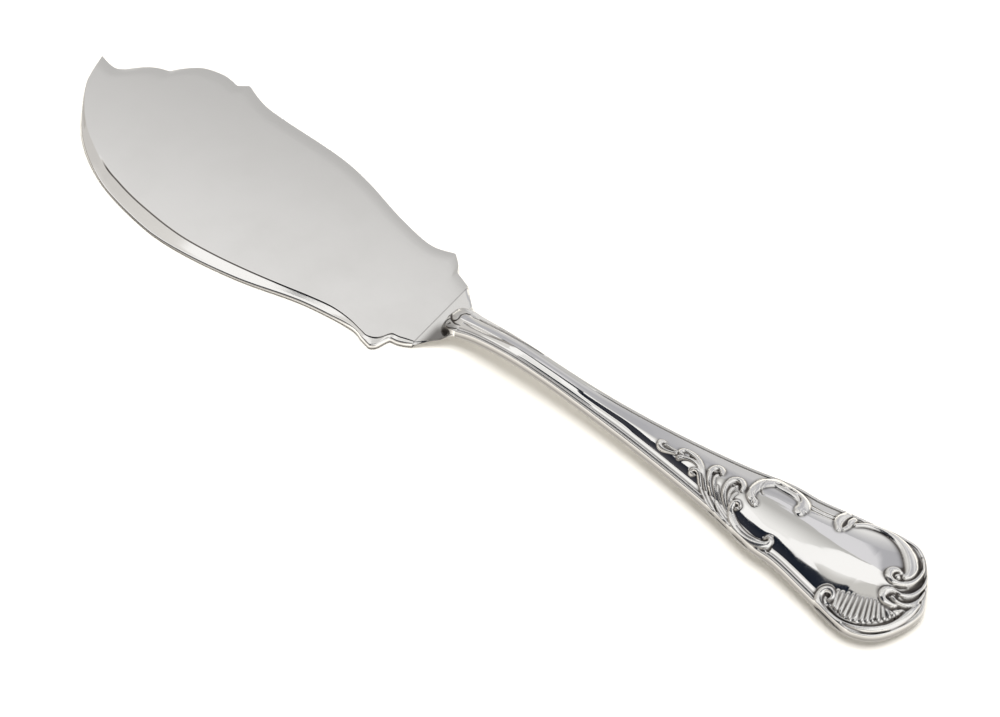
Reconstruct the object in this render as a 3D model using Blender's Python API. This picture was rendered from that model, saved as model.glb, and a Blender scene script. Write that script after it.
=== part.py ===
"""Fish serving knife with a flat shaped blade and a hollow, die-struck handle.

The knife lies on its back: the blade's flat underside and the back of the handle's
broad end touch the plane z = 0, and the neck arches up between them. +X runs towards
the handle's end, +Y towards the blade's spine, +Z up. The origin is on the blade's
underside, on the handle's axis. Meshes are drawn from the heel crease, where blade
and neck meet, and an empty there carries every piece.
"""
import bmesh
import bpy
import numpy as np
from mathutils import Vector
from mathutils.geometry import interpolate_bezier

# Driving sizes, in metres
CLEARANCE = 0.0003            # gap left between pieces that are soldered or cemented together
REST_TO_HEEL = 0.060          # origin to the heel crease

BLADE_LENGTH = 0.1380         # heel crease to tip
BLADE_THICKNESS = 0.0020
SPINE_REACH = 0.0312          # axis to the highest point of the spine
EDGE_REACH = 0.0267           # axis to the lowest point of the edge
TIP_OFFSET = 0.0133           # the tip stands this far to the spine's side of the axis
HEEL_HALF_WIDTH = 0.0127
LOBE_HALF_WIDTH = 0.0196      # pointed lobe on each side of the heel
LOBE_SETBACK = 0.0098
NOTCH_HALF_WIDTH = 0.0147     # notch between the lobe and the crease
NOTCH_SETBACK = 0.0054
WAIST_HALF_WIDTH = 0.0177     # narrow place in front of the lobes
WAIST_SETBACK = 0.0175
BEVEL_WIDTH = 0.0044          # bevel along the belly of the edge
BEVEL_HEEL_WIDTH = 0.0020     # the same bevel at the heel
BEVEL_SLOPE = 0.20            # fall of the bevel for each unit of its width

NECK_LENGTH = 0.0090          # heel crease to the handle's open end
NECK_HALF_WIDTH = 0.0046
FAN_SWEEP = 1.35              # hollow of the fan's sides: 1 is straight, more is hollower
HEEL_SQUARENESS = 8.5         # the fan's section: nearly a rectangle at the heel
STEM_SQUARENESS = 2.5         # and nearly an oval at the stem

STEM_SPAN = 0.0290            # the handle's open end to the stem's slimmest place
STEM_HALF_WIDTH = 0.0034
SHOULDER_SPAN = 0.0710        # slimmest place to the first swelling
SHOULDER_HALF_WIDTH = 0.0112
END_SPAN = 0.0315             # first swelling to the widest place of the broad end
END_HALF_WIDTH = 0.0161
END_ROUND = 0.0148            # widest place to the handle's end
END_LEAN = 0.0004             # the rounded end is fuller on the edge's side

SHELL_WALL = 0.0008           # thickness of the two struck half shells
RIM_HEIGHT = 0.0014           # side wall of a half shell, seam to border
BEAD_INSET = 0.0005           # raised border thread round the shells
BEAD_RISE = 0.0006            # the thread stands this far over the side wall
GROOVE_INSET = 0.0012         # groove inside the border
GROOVE_RISE = 0.0003          # the groove's floor over the side wall
STEM_CROWN = 0.0017           # the panel's ridge over the side wall, at the stem
END_CROWN = 0.0027            # the same at the broad end's smooth panel

ARCH_SPAN = 0.0210            # the handle's open end to the arch's top
ARCH_RISE = 0.00365           # the seam at the arch's top, above its place at the broad end
NECK_RISE = 0.0011            # the seam at the handle's open end, above the broad end
SHOULDER_RISE = 0.0013        # the seam at the first swelling, above the broad end
END_FALL = 0.0009             # the seam at the very end, below the broad end

SPIGOT_LENGTH = 0.0070        # plug of the bolster inside the shells
CEMENT_GAP = 0.0005           # spigot and cement lie this far under the shells' inner face
TANG_LENGTH = 0.0757
TANG_WIDTH = 0.0024
TANG_THICKNESS = 0.0012
TANG_GRIP = 0.0320            # length of the tang that the cement filling holds

# Stations along the axis that follow from the sizes above
STEM_SETBACK = NECK_LENGTH + STEM_SPAN
SHOULDER_SETBACK = STEM_SETBACK + SHOULDER_SPAN
END_SETBACK = SHOULDER_SETBACK + END_SPAN
HANDLE_LENGTH = END_SETBACK + END_ROUND
ARCH_SETBACK = NECK_LENGTH + ARCH_SPAN
TANG_START = NECK_LENGTH + SPIGOT_LENGTH + CLEARANCE
TANG_END = TANG_START + TANG_LENGTH
CEMENT_START = TANG_END - TANG_GRIP

# Fineness of the meshes
RUN_STEPS = 4                 # samples between two points of a blade outline
HANDLE_STEPS = 4              # samples between two points of the handle's outline
SEAM_STEPS = 12               # samples between two points of the handle's seam, seen from the side
PANEL_STEPS = (0.25, 0.5, 0.75, 1.0)
HOLLOW_STEPS = (1.0, 0.95, 0.88, 0.8, 0.6, 0.4, 0.2, 0.0)
CEMENT_STEPS = (1.0, 0.75, 0.5, 0.25, 0.0)
NECK_ROWS = 9
RING_POINTS = 28
SPIGOT_ROWS = 4
TANG_ROWS = 16
SLOT_ROWS = 8
SHARP_ANGLE = 0.6             # radians, edges bent more than this stay crisp
MERGE = 0.000001

COLLECTION = "fish_serving_knife"


def clear_scene():
    """Remove every object of the open scene."""
    for item in list(bpy.data.objects):
        bpy.data.objects.remove(item, do_unlink=True)


def make_collection(name):
    """Link a new collection to the scene."""
    group = bpy.data.collections.new(name)
    bpy.context.scene.collection.children.link(group)
    return group


def make_material(name, colour, roughness, metallic):
    """Principled material in one colour."""
    material = bpy.data.materials.new(name)
    material.use_nodes = True
    shader = material.node_tree.nodes["Principled BSDF"]
    shader.inputs["Base Color"].default_value = (*colour, 1.0)
    shader.inputs["Roughness"].default_value = roughness
    shader.inputs["Metallic"].default_value = metallic
    return material


def smooth_run(points, steps):
    """Sample a smooth curve that passes through 2D points, with soft ends."""
    points = [Vector((x, y, 0.0)) for x, y in points]
    last = len(points) - 1
    slopes = [(points[min(k + 1, last)] - points[max(k - 1, 0)]) / 6.0 for k in range(last + 1)]
    samples = [points[0]]
    for k in range(last):
        start, end = points[k], points[k + 1]
        piece = interpolate_bezier(start, start + slopes[k], end - slopes[k + 1], end, steps + 1)
        samples.extend(piece[1:])
    return [(p.x, p.y) for p in samples]


def smooth_step(low, high, value):
    """Rise from 0 at low to 1 at high, level at both ends."""
    t = np.clip((value - low) / (high - low), 0.0, 1.0)
    return t * t * (3.0 - 2.0 * t)


def join_runs(runs, steps):
    """One outline from smooth runs that meet at corners."""
    outline = [runs[0][0]]
    for run in runs:
        outline.extend(smooth_run(run, steps)[1:])
    return outline


def heel_runs(side):
    """Heel on one side, crease to waist: small lobe, notch, pointed lobe, hollow."""
    crease = (-CLEARANCE / 2, side * HEEL_HALF_WIDTH)
    swell = (-0.6 * NOTCH_SETBACK, side * (HEEL_HALF_WIDTH + 0.6 * (NOTCH_HALF_WIDTH - HEEL_HALF_WIDTH)))
    notch = (-NOTCH_SETBACK, side * NOTCH_HALF_WIDTH)
    flank = (-0.7 * NOTCH_SETBACK - 0.3 * LOBE_SETBACK,
             side * (0.55 * NOTCH_HALF_WIDTH + 0.45 * LOBE_HALF_WIDTH))
    lobe = (-LOBE_SETBACK, side * LOBE_HALF_WIDTH)
    return [[crease, swell, notch], [notch, flank, lobe]], lobe


def blade_outline():
    """Spine from the heel to the tip, then edge from the tip to the heel."""
    waist_y = WAIST_HALF_WIDTH
    tip = (-BLADE_LENGTH, TIP_OFFSET)

    def spine(station, reach):
        return (-station * BLADE_LENGTH, reach * SPINE_REACH)

    def edge(station, reach):
        return (-station * BLADE_LENGTH, -reach * EDGE_REACH)

    heel, lobe = heel_runs(1.0)
    peak = spine(0.695, 1.0)
    dip = spine(0.716, 0.93)
    cusp = spine(0.857, 0.677)
    spine_runs = heel + [
        [lobe, (-WAIST_SETBACK, waist_y), spine(0.22, 0.645), spine(0.325, 0.78), spine(0.42, 0.855),
         spine(0.58, 0.881), spine(0.64, 0.912), peak],
        [peak, spine(0.705, 0.968), dip],
        [dip, spine(0.757, 0.953), spine(0.806, 0.90), spine(0.838, 0.785), cusp],
        [cusp, spine(0.887, 0.63), spine(0.912, 0.55), spine(0.941, 0.42), spine(0.963, 0.391), tip],
    ]
    heel, lobe = heel_runs(-1.0)
    belly = [lobe, (-WAIST_SETBACK, -waist_y), edge(0.24, 0.725), edge(0.385, 0.905), edge(0.53, 1.0),
             edge(0.64, 0.973), edge(0.775, 0.805), edge(0.886, 0.475), edge(0.966, -0.02),
             edge(0.987, -0.25), tip]
    spine_side = join_runs(spine_runs, RUN_STEPS)
    edge_side = join_runs(heel + [belly], RUN_STEPS)
    return spine_side, edge_side[-2::-1]


def bevel_width(x):
    """Width of the bevel at a station: narrow at the heel, wide at the belly, none at the tip."""
    station = -x / BLADE_LENGTH
    grown = BEVEL_HEEL_WIDTH + (BEVEL_WIDTH - BEVEL_HEEL_WIDTH) * smooth_step(0.08, 0.5, station)
    return grown * (1.0 - smooth_step(0.74, 0.98, station))


def seam_rise(x):
    """Height of the handle's seam over its place at the broad end."""
    fall = SHOULDER_SETBACK - ARCH_SETBACK
    drop = ARCH_RISE - SHOULDER_RISE
    points = [
        (NECK_LENGTH, NECK_RISE),
        (NECK_LENGTH + 0.35 * ARCH_SPAN, 0.4 * NECK_RISE + 0.6 * ARCH_RISE),
        (NECK_LENGTH + 0.68 * ARCH_SPAN, 0.08 * NECK_RISE + 0.92 * ARCH_RISE),
        (ARCH_SETBACK, ARCH_RISE),
        (ARCH_SETBACK + 0.12 * fall, SHOULDER_RISE + 0.78 * drop),
        (ARCH_SETBACK + 0.32 * fall, SHOULDER_RISE + 0.33 * drop),
        (ARCH_SETBACK + 0.6 * fall, SHOULDER_RISE + 0.05 * drop),
        (SHOULDER_SETBACK, SHOULDER_RISE),
        (SHOULDER_SETBACK + 0.4 * END_SPAN, 0.88 * SHOULDER_RISE),
        (END_SETBACK, 0.0),
        (HANDLE_LENGTH, -END_FALL),
    ]
    track = np.array(smooth_run(points, SEAM_STEPS))
    return np.interp(x, track[:, 0], track[:, 1])


def crown_height(x):
    """Height of the panel's ridge over the seam: low at the stem, higher at the broad end."""
    rise = STEM_CROWN + (END_CROWN - STEM_CROWN) * smooth_step(STEM_SETBACK, SHOULDER_SETBACK, x)
    return RIM_HEIGHT + rise


def handle_side(side):
    """Half of the handle's outline at the seam, from the open end to the tip of the broad end.

    One point beyond the tip lets the two halves meet without a corner.
    """
    stem, shoulder, full = STEM_HALF_WIDTH, SHOULDER_HALF_WIDTH, END_HALF_WIDTH
    lean = -side * END_LEAN
    points = [
        (NECK_LENGTH, NECK_HALF_WIDTH),
        (NECK_LENGTH + 0.25 * STEM_SPAN, 0.3 * NECK_HALF_WIDTH + 0.7 * stem),
        (STEM_SETBACK, stem),
        (STEM_SETBACK + 0.28 * SHOULDER_SPAN, 0.9 * stem + 0.1 * shoulder),
        (STEM_SETBACK + 0.54 * SHOULDER_SPAN, 0.69 * stem + 0.31 * shoulder),
        (STEM_SETBACK + 0.8 * SHOULDER_SPAN, 0.37 * stem + 0.63 * shoulder),
        (SHOULDER_SETBACK, shoulder),
        (SHOULDER_SETBACK + 0.27 * END_SPAN, 0.9 * shoulder + 0.1 * full),
        (SHOULDER_SETBACK + 0.62 * END_SPAN, 0.46 * shoulder + 0.54 * full),
        (END_SETBACK, full),
        (END_SETBACK + 0.38 * END_ROUND, 0.945 * full),
        (END_SETBACK + 0.68 * END_ROUND, 0.67 * full + lean),
        (END_SETBACK + 0.91 * END_ROUND, 0.29 * full + lean),
        (HANDLE_LENGTH, 0.0),
    ]
    beyond = (END_SETBACK + 0.91 * END_ROUND, lean - 0.29 * full)
    track = np.array(smooth_run(points + [beyond], HANDLE_STEPS)[:-HANDLE_STEPS])
    track[:, 1] *= side
    return track


def handle_rows():
    """Far and near outline with the centre points between them.

    Rows cross the handle square to its axis up to the middle of the broad end, and from
    there they fan round that middle, so the rounded end has no thin slivers.
    """
    far, near = handle_side(1.0), handle_side(-1.0)
    fan_centre = END_SETBACK - 0.2 * END_HALF_WIDTH
    centre = np.zeros_like(far)
    centre[:, 0] = np.minimum(0.5 * (far[:, 0] + near[:, 0]), fan_centre)
    return far, near, centre


def outer_profile(width, crown):
    """Inset from the outline and height over the seam, from the seam to the centre."""
    groove = RIM_HEIGHT + GROOVE_RISE
    profile = [(0.0, 0.0), (0.0, RIM_HEIGHT), (BEAD_INSET, RIM_HEIGHT + BEAD_RISE), (GROOVE_INSET, groove)]
    for share in PANEL_STEPS:
        inset = GROOVE_INSET + (width - GROOVE_INSET) * share
        profile.append((inset, groove + (crown - groove) * (1.0 - (1.0 - share) ** 2)))
    return profile


def lens_profile(width, crown, shares, gap):
    """Inset and height of the hollow under a shell, lowered by a gap: a parabola over the inner width."""
    inner_width = width - SHELL_WALL
    inner_crown = crown - SHELL_WALL
    reach = inner_width * np.sqrt(1.0 - gap / inner_crown)
    return [(width - reach * share, (inner_crown - gap) * (1.0 - share ** 2)) for share in shares]


def inner_profile(width, crown):
    """The hollow's own surface, with as many points as the outer profile."""
    return lens_profile(width, crown, HOLLOW_STEPS, 0.0)


def skin(profile_of, rows, first, side, base):
    """Grid of points over the handle: near edge, centre, far edge in each row.

    side is +1 for the front and -1 for the back, and base is the seam's height at the broad end.
    """
    far, near, centre = rows
    grid = []
    for k in range(first, len(far)):
        crown = crown_height(centre[k, 0])
        halves = []
        for outline in (near[k], far[k]):
            spread = outline - centre[k]
            width = np.hypot(*spread)
            half = []
            for inset, height in profile_of(width, crown):
                x, y = centre[k] + spread * (1.0 - inset / width)
                half.append((x, y, base + seam_rise(x) + side * height))
            halves.append(half)
        grid.append(halves[0] + halves[1][-2::-1])
    return np.array(grid)


def back_rest_height(rows):
    """Seam height at the broad end that lets the back of the handle just touch z = 0."""
    return -skin(outer_profile, rows, 0, -1.0, -CLEARANCE / 2)[:, :, 2].min()


def quads_between(first, second):
    """Quads between two rows of vertices."""
    return [(first[k], first[k + 1], second[k + 1], second[k]) for k in range(len(first) - 1)]


def finish_mesh(bm, name, material, group, parent):
    """Merge what coincides, turn faces outwards and make the object."""
    bmesh.ops.remove_doubles(bm, verts=bm.verts, dist=MERGE)
    bmesh.ops.recalc_face_normals(bm, faces=bm.faces)
    mesh = bpy.data.meshes.new(name)
    bm.to_mesh(mesh)
    bm.free()
    mesh.materials.append(material)
    mesh.shade_smooth()
    mesh.set_sharp_from_angle(angle=SHARP_ANGLE)
    item = bpy.data.objects.new(name, mesh)
    item.parent = parent
    group.objects.link(item)
    return item


def add_rows(bm, grid):
    """Vertices of a grid of points, row by row."""
    return [[bm.verts.new(point) for point in row] for row in grid]


def loft(rings, name, material, group, parent):
    """Closed body through rings of equal count, capped at both ends."""
    bm = bmesh.new()
    loops = add_rows(bm, rings)
    for first, second in zip(loops, loops[1:]):
        for corners in quads_between(first + first[:1], second + second[:1]):
            bm.faces.new(corners)
    bm.faces.new(loops[0])
    bm.faces.new(loops[-1])
    return finish_mesh(bm, name, material, group, parent)


def sheet_body(top, bottom, name, material, group, parent):
    """Closed body between two grids: both skins, the two long rims and the open end."""
    bm = bmesh.new()
    over, under = add_rows(bm, top), add_rows(bm, bottom)
    for rows in (over, under):
        for first, second in zip(rows, rows[1:]):
            for corners in quads_between(first, second):
                bm.faces.new(corners)
    for column in (0, -1):
        for corners in quads_between([row[column] for row in over], [row[column] for row in under]):
            bm.faces.new(corners)
    for corners in quads_between(over[0], under[0]):
        bm.faces.new(corners)
    return finish_mesh(bm, name, material, group, parent)


def build_blade(material, group, parent):
    """Flat plate with a bevel let down along its cutting edge."""
    spine_side, edge_side = blade_outline()
    low, rim, top = [], [], []
    for x, y in spine_side:
        low.append((x, y, 0.0))
        rim.append((x, y, BLADE_THICKNESS))
        top.append((x, y, BLADE_THICKNESS))
    for x, y in edge_side:
        width = bevel_width(x)
        low.append((x, y, 0.0))
        rim.append((x, y, BLADE_THICKNESS - BEVEL_SLOPE * width))
        top.append((x, y + width, BLADE_THICKNESS))
    return loft([low, rim, top], "blade", material, group, parent)


def oval_ring(x, half_width, low, high, squareness):
    """Ring across the neck: a rounded rectangle that turns oval as squareness falls to 2."""
    angle = np.linspace(0.0, 2.0 * np.pi, RING_POINTS, endpoint=False)
    power = 2.0 / squareness
    across = np.sign(np.cos(angle)) * np.abs(np.cos(angle)) ** power
    up = np.sign(np.sin(angle)) * np.abs(np.sin(angle)) ** power
    height = 0.5 * (low + high) + 0.5 * (high - low) * up
    return np.column_stack([np.full(RING_POINTS, x), half_width * across, height])


def lens_ring(x, base, gap):
    """Ring of the hollow between the two shells at a station of the stem, lowered by a gap."""
    outline = handle_side(1.0)
    width = np.interp(x, outline[:, 0], outline[:, 1])
    seam = base + seam_rise(x)
    shares = np.cos(np.linspace(0.0, np.pi, RING_POINTS // 2 + 1))
    profile = np.array(lens_profile(width, crown_height(x), np.abs(shares), gap))
    across = np.sign(shares) * (width - profile[:, 0])
    front = np.column_stack([np.full(len(shares), x), across, seam + profile[:, 1]])
    back = np.column_stack([np.full(len(shares), x), across, seam - profile[:, 1]])
    return np.vstack([front, back[-2:0:-1]])


def build_bolster(base, material, group, parent):
    """Fan from the blade's heel to the stem, with a plug that enters the handle."""
    start, end = CLEARANCE / 2, NECK_LENGTH - CLEARANCE
    seam = base + seam_rise(NECK_LENGTH)
    crown = crown_height(NECK_LENGTH)
    rings = []
    for share in np.linspace(0.0, 1.0, NECK_ROWS):
        x = start + (end - start) * share
        half_width = NECK_HALF_WIDTH + (HEEL_HALF_WIDTH - NECK_HALF_WIDTH) * (1.0 - share) ** FAN_SWEEP
        low = (seam - crown) * smooth_step(0.0, 1.0, share)
        high = BLADE_THICKNESS + (seam + crown - BLADE_THICKNESS) * share
        squareness = STEM_SQUARENESS + (HEEL_SQUARENESS - STEM_SQUARENESS) * (1.0 - share) ** 3
        rings.append(oval_ring(x, half_width, low, high, squareness))
    for x in np.linspace(end, NECK_LENGTH + SPIGOT_LENGTH, SPIGOT_ROWS):
        rings.append(lens_ring(x, base, CEMENT_GAP))
    return loft(rings, "bolster", material, group, parent)


def bar_rings(stations, base, half_width, half_thickness):
    """Rectangular bar that follows the handle's seam."""
    rings = []
    for x in stations:
        seam = base + seam_rise(x)
        rings.append([(x, -half_width, seam - half_thickness), (x, half_width, seam - half_thickness),
                      (x, half_width, seam + half_thickness), (x, -half_width, seam + half_thickness)])
    return rings


def build_tang(base, material, group, parent):
    """Flat bar soldered to the bolster's plug and running up inside the handle."""
    stations = np.linspace(TANG_START, TANG_END, TANG_ROWS)
    rings = bar_rings(stations, base, TANG_WIDTH / 2, TANG_THICKNESS / 2)
    return loft(rings, "tang", material, group, parent)


def build_shell(name, side, rows, base, material, group, parent):
    """One struck half of the handle: border, crowned panel and an even hollow behind them."""
    level = base + side * CLEARANCE / 2
    outer = skin(outer_profile, rows, 0, side, level)
    inner = skin(inner_profile, rows, 0, side, level)
    return sheet_body(outer, inner, name, material, group, parent)


def build_cement(rows, base, material, group, cutters, parent):
    """Filling of the broad end, with a slot that takes the tang."""
    def profile(width, crown):
        return lens_profile(width, crown, CEMENT_STEPS, CEMENT_GAP)

    first = int(np.searchsorted(rows[2][:, 0], CEMENT_START))
    front = skin(profile, rows, first, 1.0, base)
    back = skin(profile, rows, first, -1.0, base)
    cement = sheet_body(front, back, "cement_filling", material, group, parent)

    overrun = 10.0 * CLEARANCE
    stations = np.linspace(front[0, :, 0].min() - overrun, TANG_END + CLEARANCE, SLOT_ROWS)
    rings = bar_rings(stations, base, TANG_WIDTH / 2 + CLEARANCE, TANG_THICKNESS / 2 + CLEARANCE)
    slot = loft(rings, "tang_slot", material, cutters, parent)
    slot.hide_render = True
    slot.display_type = "WIRE"
    cut = cement.modifiers.new("tang_slot", "BOOLEAN")
    cut.operation = "DIFFERENCE"
    cut.solver = "EXACT"
    cut.object = slot
    return cement


def main():
    """Build every piece on one empty at the heel crease."""
    clear_scene()
    group = make_collection(COLLECTION)
    cutters = make_collection("cutters")
    heel = bpy.data.objects.new("heel_crease", None)
    heel.location = (REST_TO_HEEL, 0.0, 0.0)
    group.objects.link(heel)

    blade_silver = make_material("blade_silver", (0.84, 0.83, 0.81), 0.16, 1.0)
    neck_silver = make_material("neck_silver", (0.82, 0.81, 0.80), 0.12, 1.0)
    front_silver = make_material("front_silver", (0.85, 0.85, 0.86), 0.08, 1.0)
    back_silver = make_material("back_silver", (0.85, 0.85, 0.86), 0.10, 1.0)
    tang_steel = make_material("tang_steel", (0.45, 0.45, 0.46), 0.45, 1.0)
    pitch = make_material("pitch_cement", (0.16, 0.10, 0.06), 0.75, 0.0)

    rows = handle_rows()
    base = back_rest_height(rows)
    build_blade(blade_silver, group, heel)
    build_bolster(base, neck_silver, group, heel)
    build_tang(base, tang_steel, group, heel)
    build_shell("handle_front", 1.0, rows, base, front_silver, group, heel)
    build_shell("handle_back", -1.0, rows, base, back_silver, group, heel)
    build_cement(rows, base, pitch, group, cutters, heel)


main()
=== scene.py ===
# %% [markdown]
# # A fish serving knife in silver
#
# The knife has a flat, shaped blade, a fan-shaped neck and a hollow handle struck from thin sheet
# in two halves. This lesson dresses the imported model: it loads the solids as a fixed frame, makes
# finer surfaces for the pieces that show, gives them silver, and sets up a table, light and camera.
# Lengths are worked out in millimetres from the heel crease, where blade and neck meet.

import bmesh
import bpy
import numpy as np
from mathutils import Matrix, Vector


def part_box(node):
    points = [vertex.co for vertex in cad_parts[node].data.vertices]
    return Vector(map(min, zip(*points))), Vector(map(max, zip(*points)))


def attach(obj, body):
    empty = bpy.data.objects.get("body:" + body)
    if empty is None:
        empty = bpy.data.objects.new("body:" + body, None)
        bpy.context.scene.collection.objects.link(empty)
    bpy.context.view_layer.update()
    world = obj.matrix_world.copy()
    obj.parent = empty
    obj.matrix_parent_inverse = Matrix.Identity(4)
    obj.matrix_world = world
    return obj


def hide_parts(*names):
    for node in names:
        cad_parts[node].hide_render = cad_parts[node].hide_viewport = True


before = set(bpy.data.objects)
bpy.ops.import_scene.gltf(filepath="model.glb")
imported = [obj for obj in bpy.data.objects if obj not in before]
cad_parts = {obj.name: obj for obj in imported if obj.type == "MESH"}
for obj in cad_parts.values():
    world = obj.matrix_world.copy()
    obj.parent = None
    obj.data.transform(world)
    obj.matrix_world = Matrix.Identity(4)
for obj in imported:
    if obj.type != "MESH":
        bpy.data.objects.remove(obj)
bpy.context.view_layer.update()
print("pieces in the frame:", sorted(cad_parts))

# %% [markdown]
# Every outline on the knife is a smooth line through a few points that can be read off the real
# object. Blender's curve objects could do this, but a curve worked out in numpy gives all points
# at once, and the same function can carry widths and heights along with the positions.

# %% Smooth lines and steps
MM = 0.001
HEEL_X = 60.0                 # heel crease along x, from the frame's origin


def smooth_step(low, high, value):
    """Rise from 0 at low to 1 at high: three times the share squared, less twice its cube."""
    share = np.clip((value - low) / (high - low), 0.0, 1.0)
    return share * share * (3.0 - 2.0 * share)


def smooth_run(points, steps):
    """Curve through every point of a list, for any number of values in a point.

    Between two points it blends both points and both slopes with cubic weights, where a slope is
    half of the way from the point before to the point after.
    """
    points = np.asarray(points, float)
    before = np.vstack([points[:1], points[:-1]])
    after = np.vstack([points[1:], points[-1:]])
    slope = 0.5 * (after - before)
    t = np.linspace(0.0, 1.0, steps, endpoint=False)[None, :, None]
    run = ((1 + 2 * t) * (1 - t) ** 2 * points[:-1, None] + t * (1 - t) ** 2 * slope[:-1, None]
           + t * t * (3 - 2 * t) * points[1:, None] + t * t * (t - 1) * slope[1:, None])
    return np.vstack([run.reshape(-1, points.shape[1]), points[-1:]])


print("a run through 3 points in 4 steps has", len(smooth_run([(0, 0), (1, 1), (2, 0)], 4)), "samples")

# %% [markdown]
# A piece is a grid of points, rows along the knife and columns across it. The next functions turn
# grids into faces and put them into a mesh. Points that coincide are merged, so that seams and
# poles are closed, and Blender turns the faces outwards.

# %% Grids into meshes
MERGE = 0.0000005             # metres, points closer than this become one
SHARP_ANGLE = 1.2             # radians, edges bent more than this stay crisp


def point_numbers(rows, columns, start=0):
    """Numbers of a grid's points, row by row from start."""
    return start + np.arange(rows * columns).reshape(rows, columns)


def quads(numbers):
    """Quads between neighbouring rows and columns of a grid of point numbers."""
    corners = [numbers[:-1, :-1], numbers[1:, :-1], numbers[1:, 1:], numbers[:-1, 1:]]
    return np.stack(corners, axis=-1).reshape(-1, 4).tolist()


def ring_quads(numbers):
    """Quads between neighbouring rings, each row of numbers closed on its first point."""
    return quads(np.hstack([numbers, numbers[:, :1]]))


def make_piece(name, points, faces, attributes=None):
    """Object from points in millimetres from the heel crease, with point attributes by name."""
    mesh = bpy.data.meshes.new(name)
    mesh.from_pydata(((points + [HEEL_X, 0.0, 0.0]) * MM).tolist(), [], faces)
    for label, values in (attributes or {}).items():
        mesh.attributes.new(label, "FLOAT", "POINT").data.foreach_set("value", values.astype(np.float32))
    work = bmesh.new()
    work.from_mesh(mesh)
    bmesh.ops.remove_doubles(work, verts=work.verts, dist=MERGE)
    bmesh.ops.recalc_face_normals(work, faces=work.faces)
    work.to_mesh(mesh)
    work.free()
    mesh.shade_smooth()
    mesh.set_sharp_from_angle(angle=SHARP_ANGLE)
    piece = bpy.data.objects.new(name, mesh)
    bpy.context.scene.collection.objects.link(piece)
    print(name, "has", len(mesh.vertices), "points")
    return piece


print("a grid of 3 by 4 points has", len(quads(point_numbers(3, 4))), "quads")

# %% [markdown]
# The handle's outline starts slim at the neck, swells twice and ends round. Its seam, seen from
# the side, arches up behind the neck and comes down to the broad end. Both are smooth runs with
# the same sizes as the solid model, so the fine surface lies where the solid is.

# %% Outline and seam of the handle
NECK_LENGTH = 9.0             # heel crease to the handle's open end
NECK_HALF_WIDTH = 4.6
STEM_SETBACK = 38.0           # slimmest place
STEM_HALF_WIDTH = 3.4
SHOULDER_SETBACK = 109.0      # first swelling
SHOULDER_HALF_WIDTH = 11.2
END_SETBACK = 140.5           # widest place of the broad end
END_HALF_WIDTH = 16.1
HANDLE_LENGTH = 155.3
NEAR_LEAN, FAR_LEAN = 1.2, -0.4         # the rounded end is fuller on the edge's side
ARCH_SETBACK = 30.0
ARCH_RISE = 3.65              # seam heights over the widest place of the broad end
NECK_RISE = 1.1
SHOULDER_RISE = 1.3
END_FALL = 0.9
SEAM_GAP = 0.3                # the solids leave this gap along the seam
RIM_HEIGHT = 1.4
END_CROWN = 4.1               # the panel's crown over the seam
FAN_CENTRE = END_SETBACK - 0.2 * END_HALF_WIDTH
OUTLINE_STEPS, TRACK_STEPS = 120, 160   # samples between two points of a run


def handle_side(side):
    """Half outline from the open end to the tip of the broad end, side +1 far and -1 near."""
    stem, shoulder, full = STEM_HALF_WIDTH, SHOULDER_HALF_WIDTH, END_HALF_WIDTH
    flare, swell = SHOULDER_SETBACK - STEM_SETBACK, END_SETBACK - SHOULDER_SETBACK
    turn = HANDLE_LENGTH - END_SETBACK
    lean = FAR_LEAN if side > 0 else NEAR_LEAN
    points = [
        (NECK_LENGTH, NECK_HALF_WIDTH),
        (NECK_LENGTH + 0.25 * (STEM_SETBACK - NECK_LENGTH), 0.3 * NECK_HALF_WIDTH + 0.7 * stem),
        (STEM_SETBACK, stem),
        (STEM_SETBACK + 0.28 * flare, 0.9 * stem + 0.1 * shoulder),
        (STEM_SETBACK + 0.54 * flare, 0.69 * stem + 0.31 * shoulder),
        (STEM_SETBACK + 0.8 * flare, 0.37 * stem + 0.63 * shoulder),
        (SHOULDER_SETBACK, shoulder),
        (SHOULDER_SETBACK + 0.27 * swell, 0.9 * shoulder + 0.1 * full),
        (SHOULDER_SETBACK + 0.62 * swell, 0.46 * shoulder + 0.54 * full),
        (END_SETBACK, full),
        (END_SETBACK + 0.38 * turn, 0.945 * full),
        (END_SETBACK + 0.68 * turn, 0.67 * full + lean),
        (END_SETBACK + 0.91 * turn, 0.29 * full + lean),
        (HANDLE_LENGTH, 0.0),
        (END_SETBACK + 0.91 * turn, lean - 0.29 * full),
    ]
    return smooth_run(points, OUTLINE_STEPS)[:-OUTLINE_STEPS]


def seam_points():
    """Points of the seam in side view: stations and heights over the broad end."""
    fall, drop = SHOULDER_SETBACK - ARCH_SETBACK, ARCH_RISE - SHOULDER_RISE
    rise = ARCH_SETBACK - NECK_LENGTH
    return [
        (NECK_LENGTH, NECK_RISE),
        (NECK_LENGTH + 0.35 * rise, 0.4 * NECK_RISE + 0.6 * ARCH_RISE),
        (NECK_LENGTH + 0.68 * rise, 0.08 * NECK_RISE + 0.92 * ARCH_RISE),
        (ARCH_SETBACK, ARCH_RISE),
        (ARCH_SETBACK + 0.12 * fall, SHOULDER_RISE + 0.78 * drop),
        (ARCH_SETBACK + 0.32 * fall, SHOULDER_RISE + 0.33 * drop),
        (ARCH_SETBACK + 0.6 * fall, SHOULDER_RISE + 0.05 * drop),
        (SHOULDER_SETBACK, SHOULDER_RISE),
        (SHOULDER_SETBACK + 0.4 * (END_SETBACK - SHOULDER_SETBACK), 0.88 * SHOULDER_RISE),
        (END_SETBACK, 0.0),
        (HANDLE_LENGTH, -END_FALL),
    ]


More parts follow.
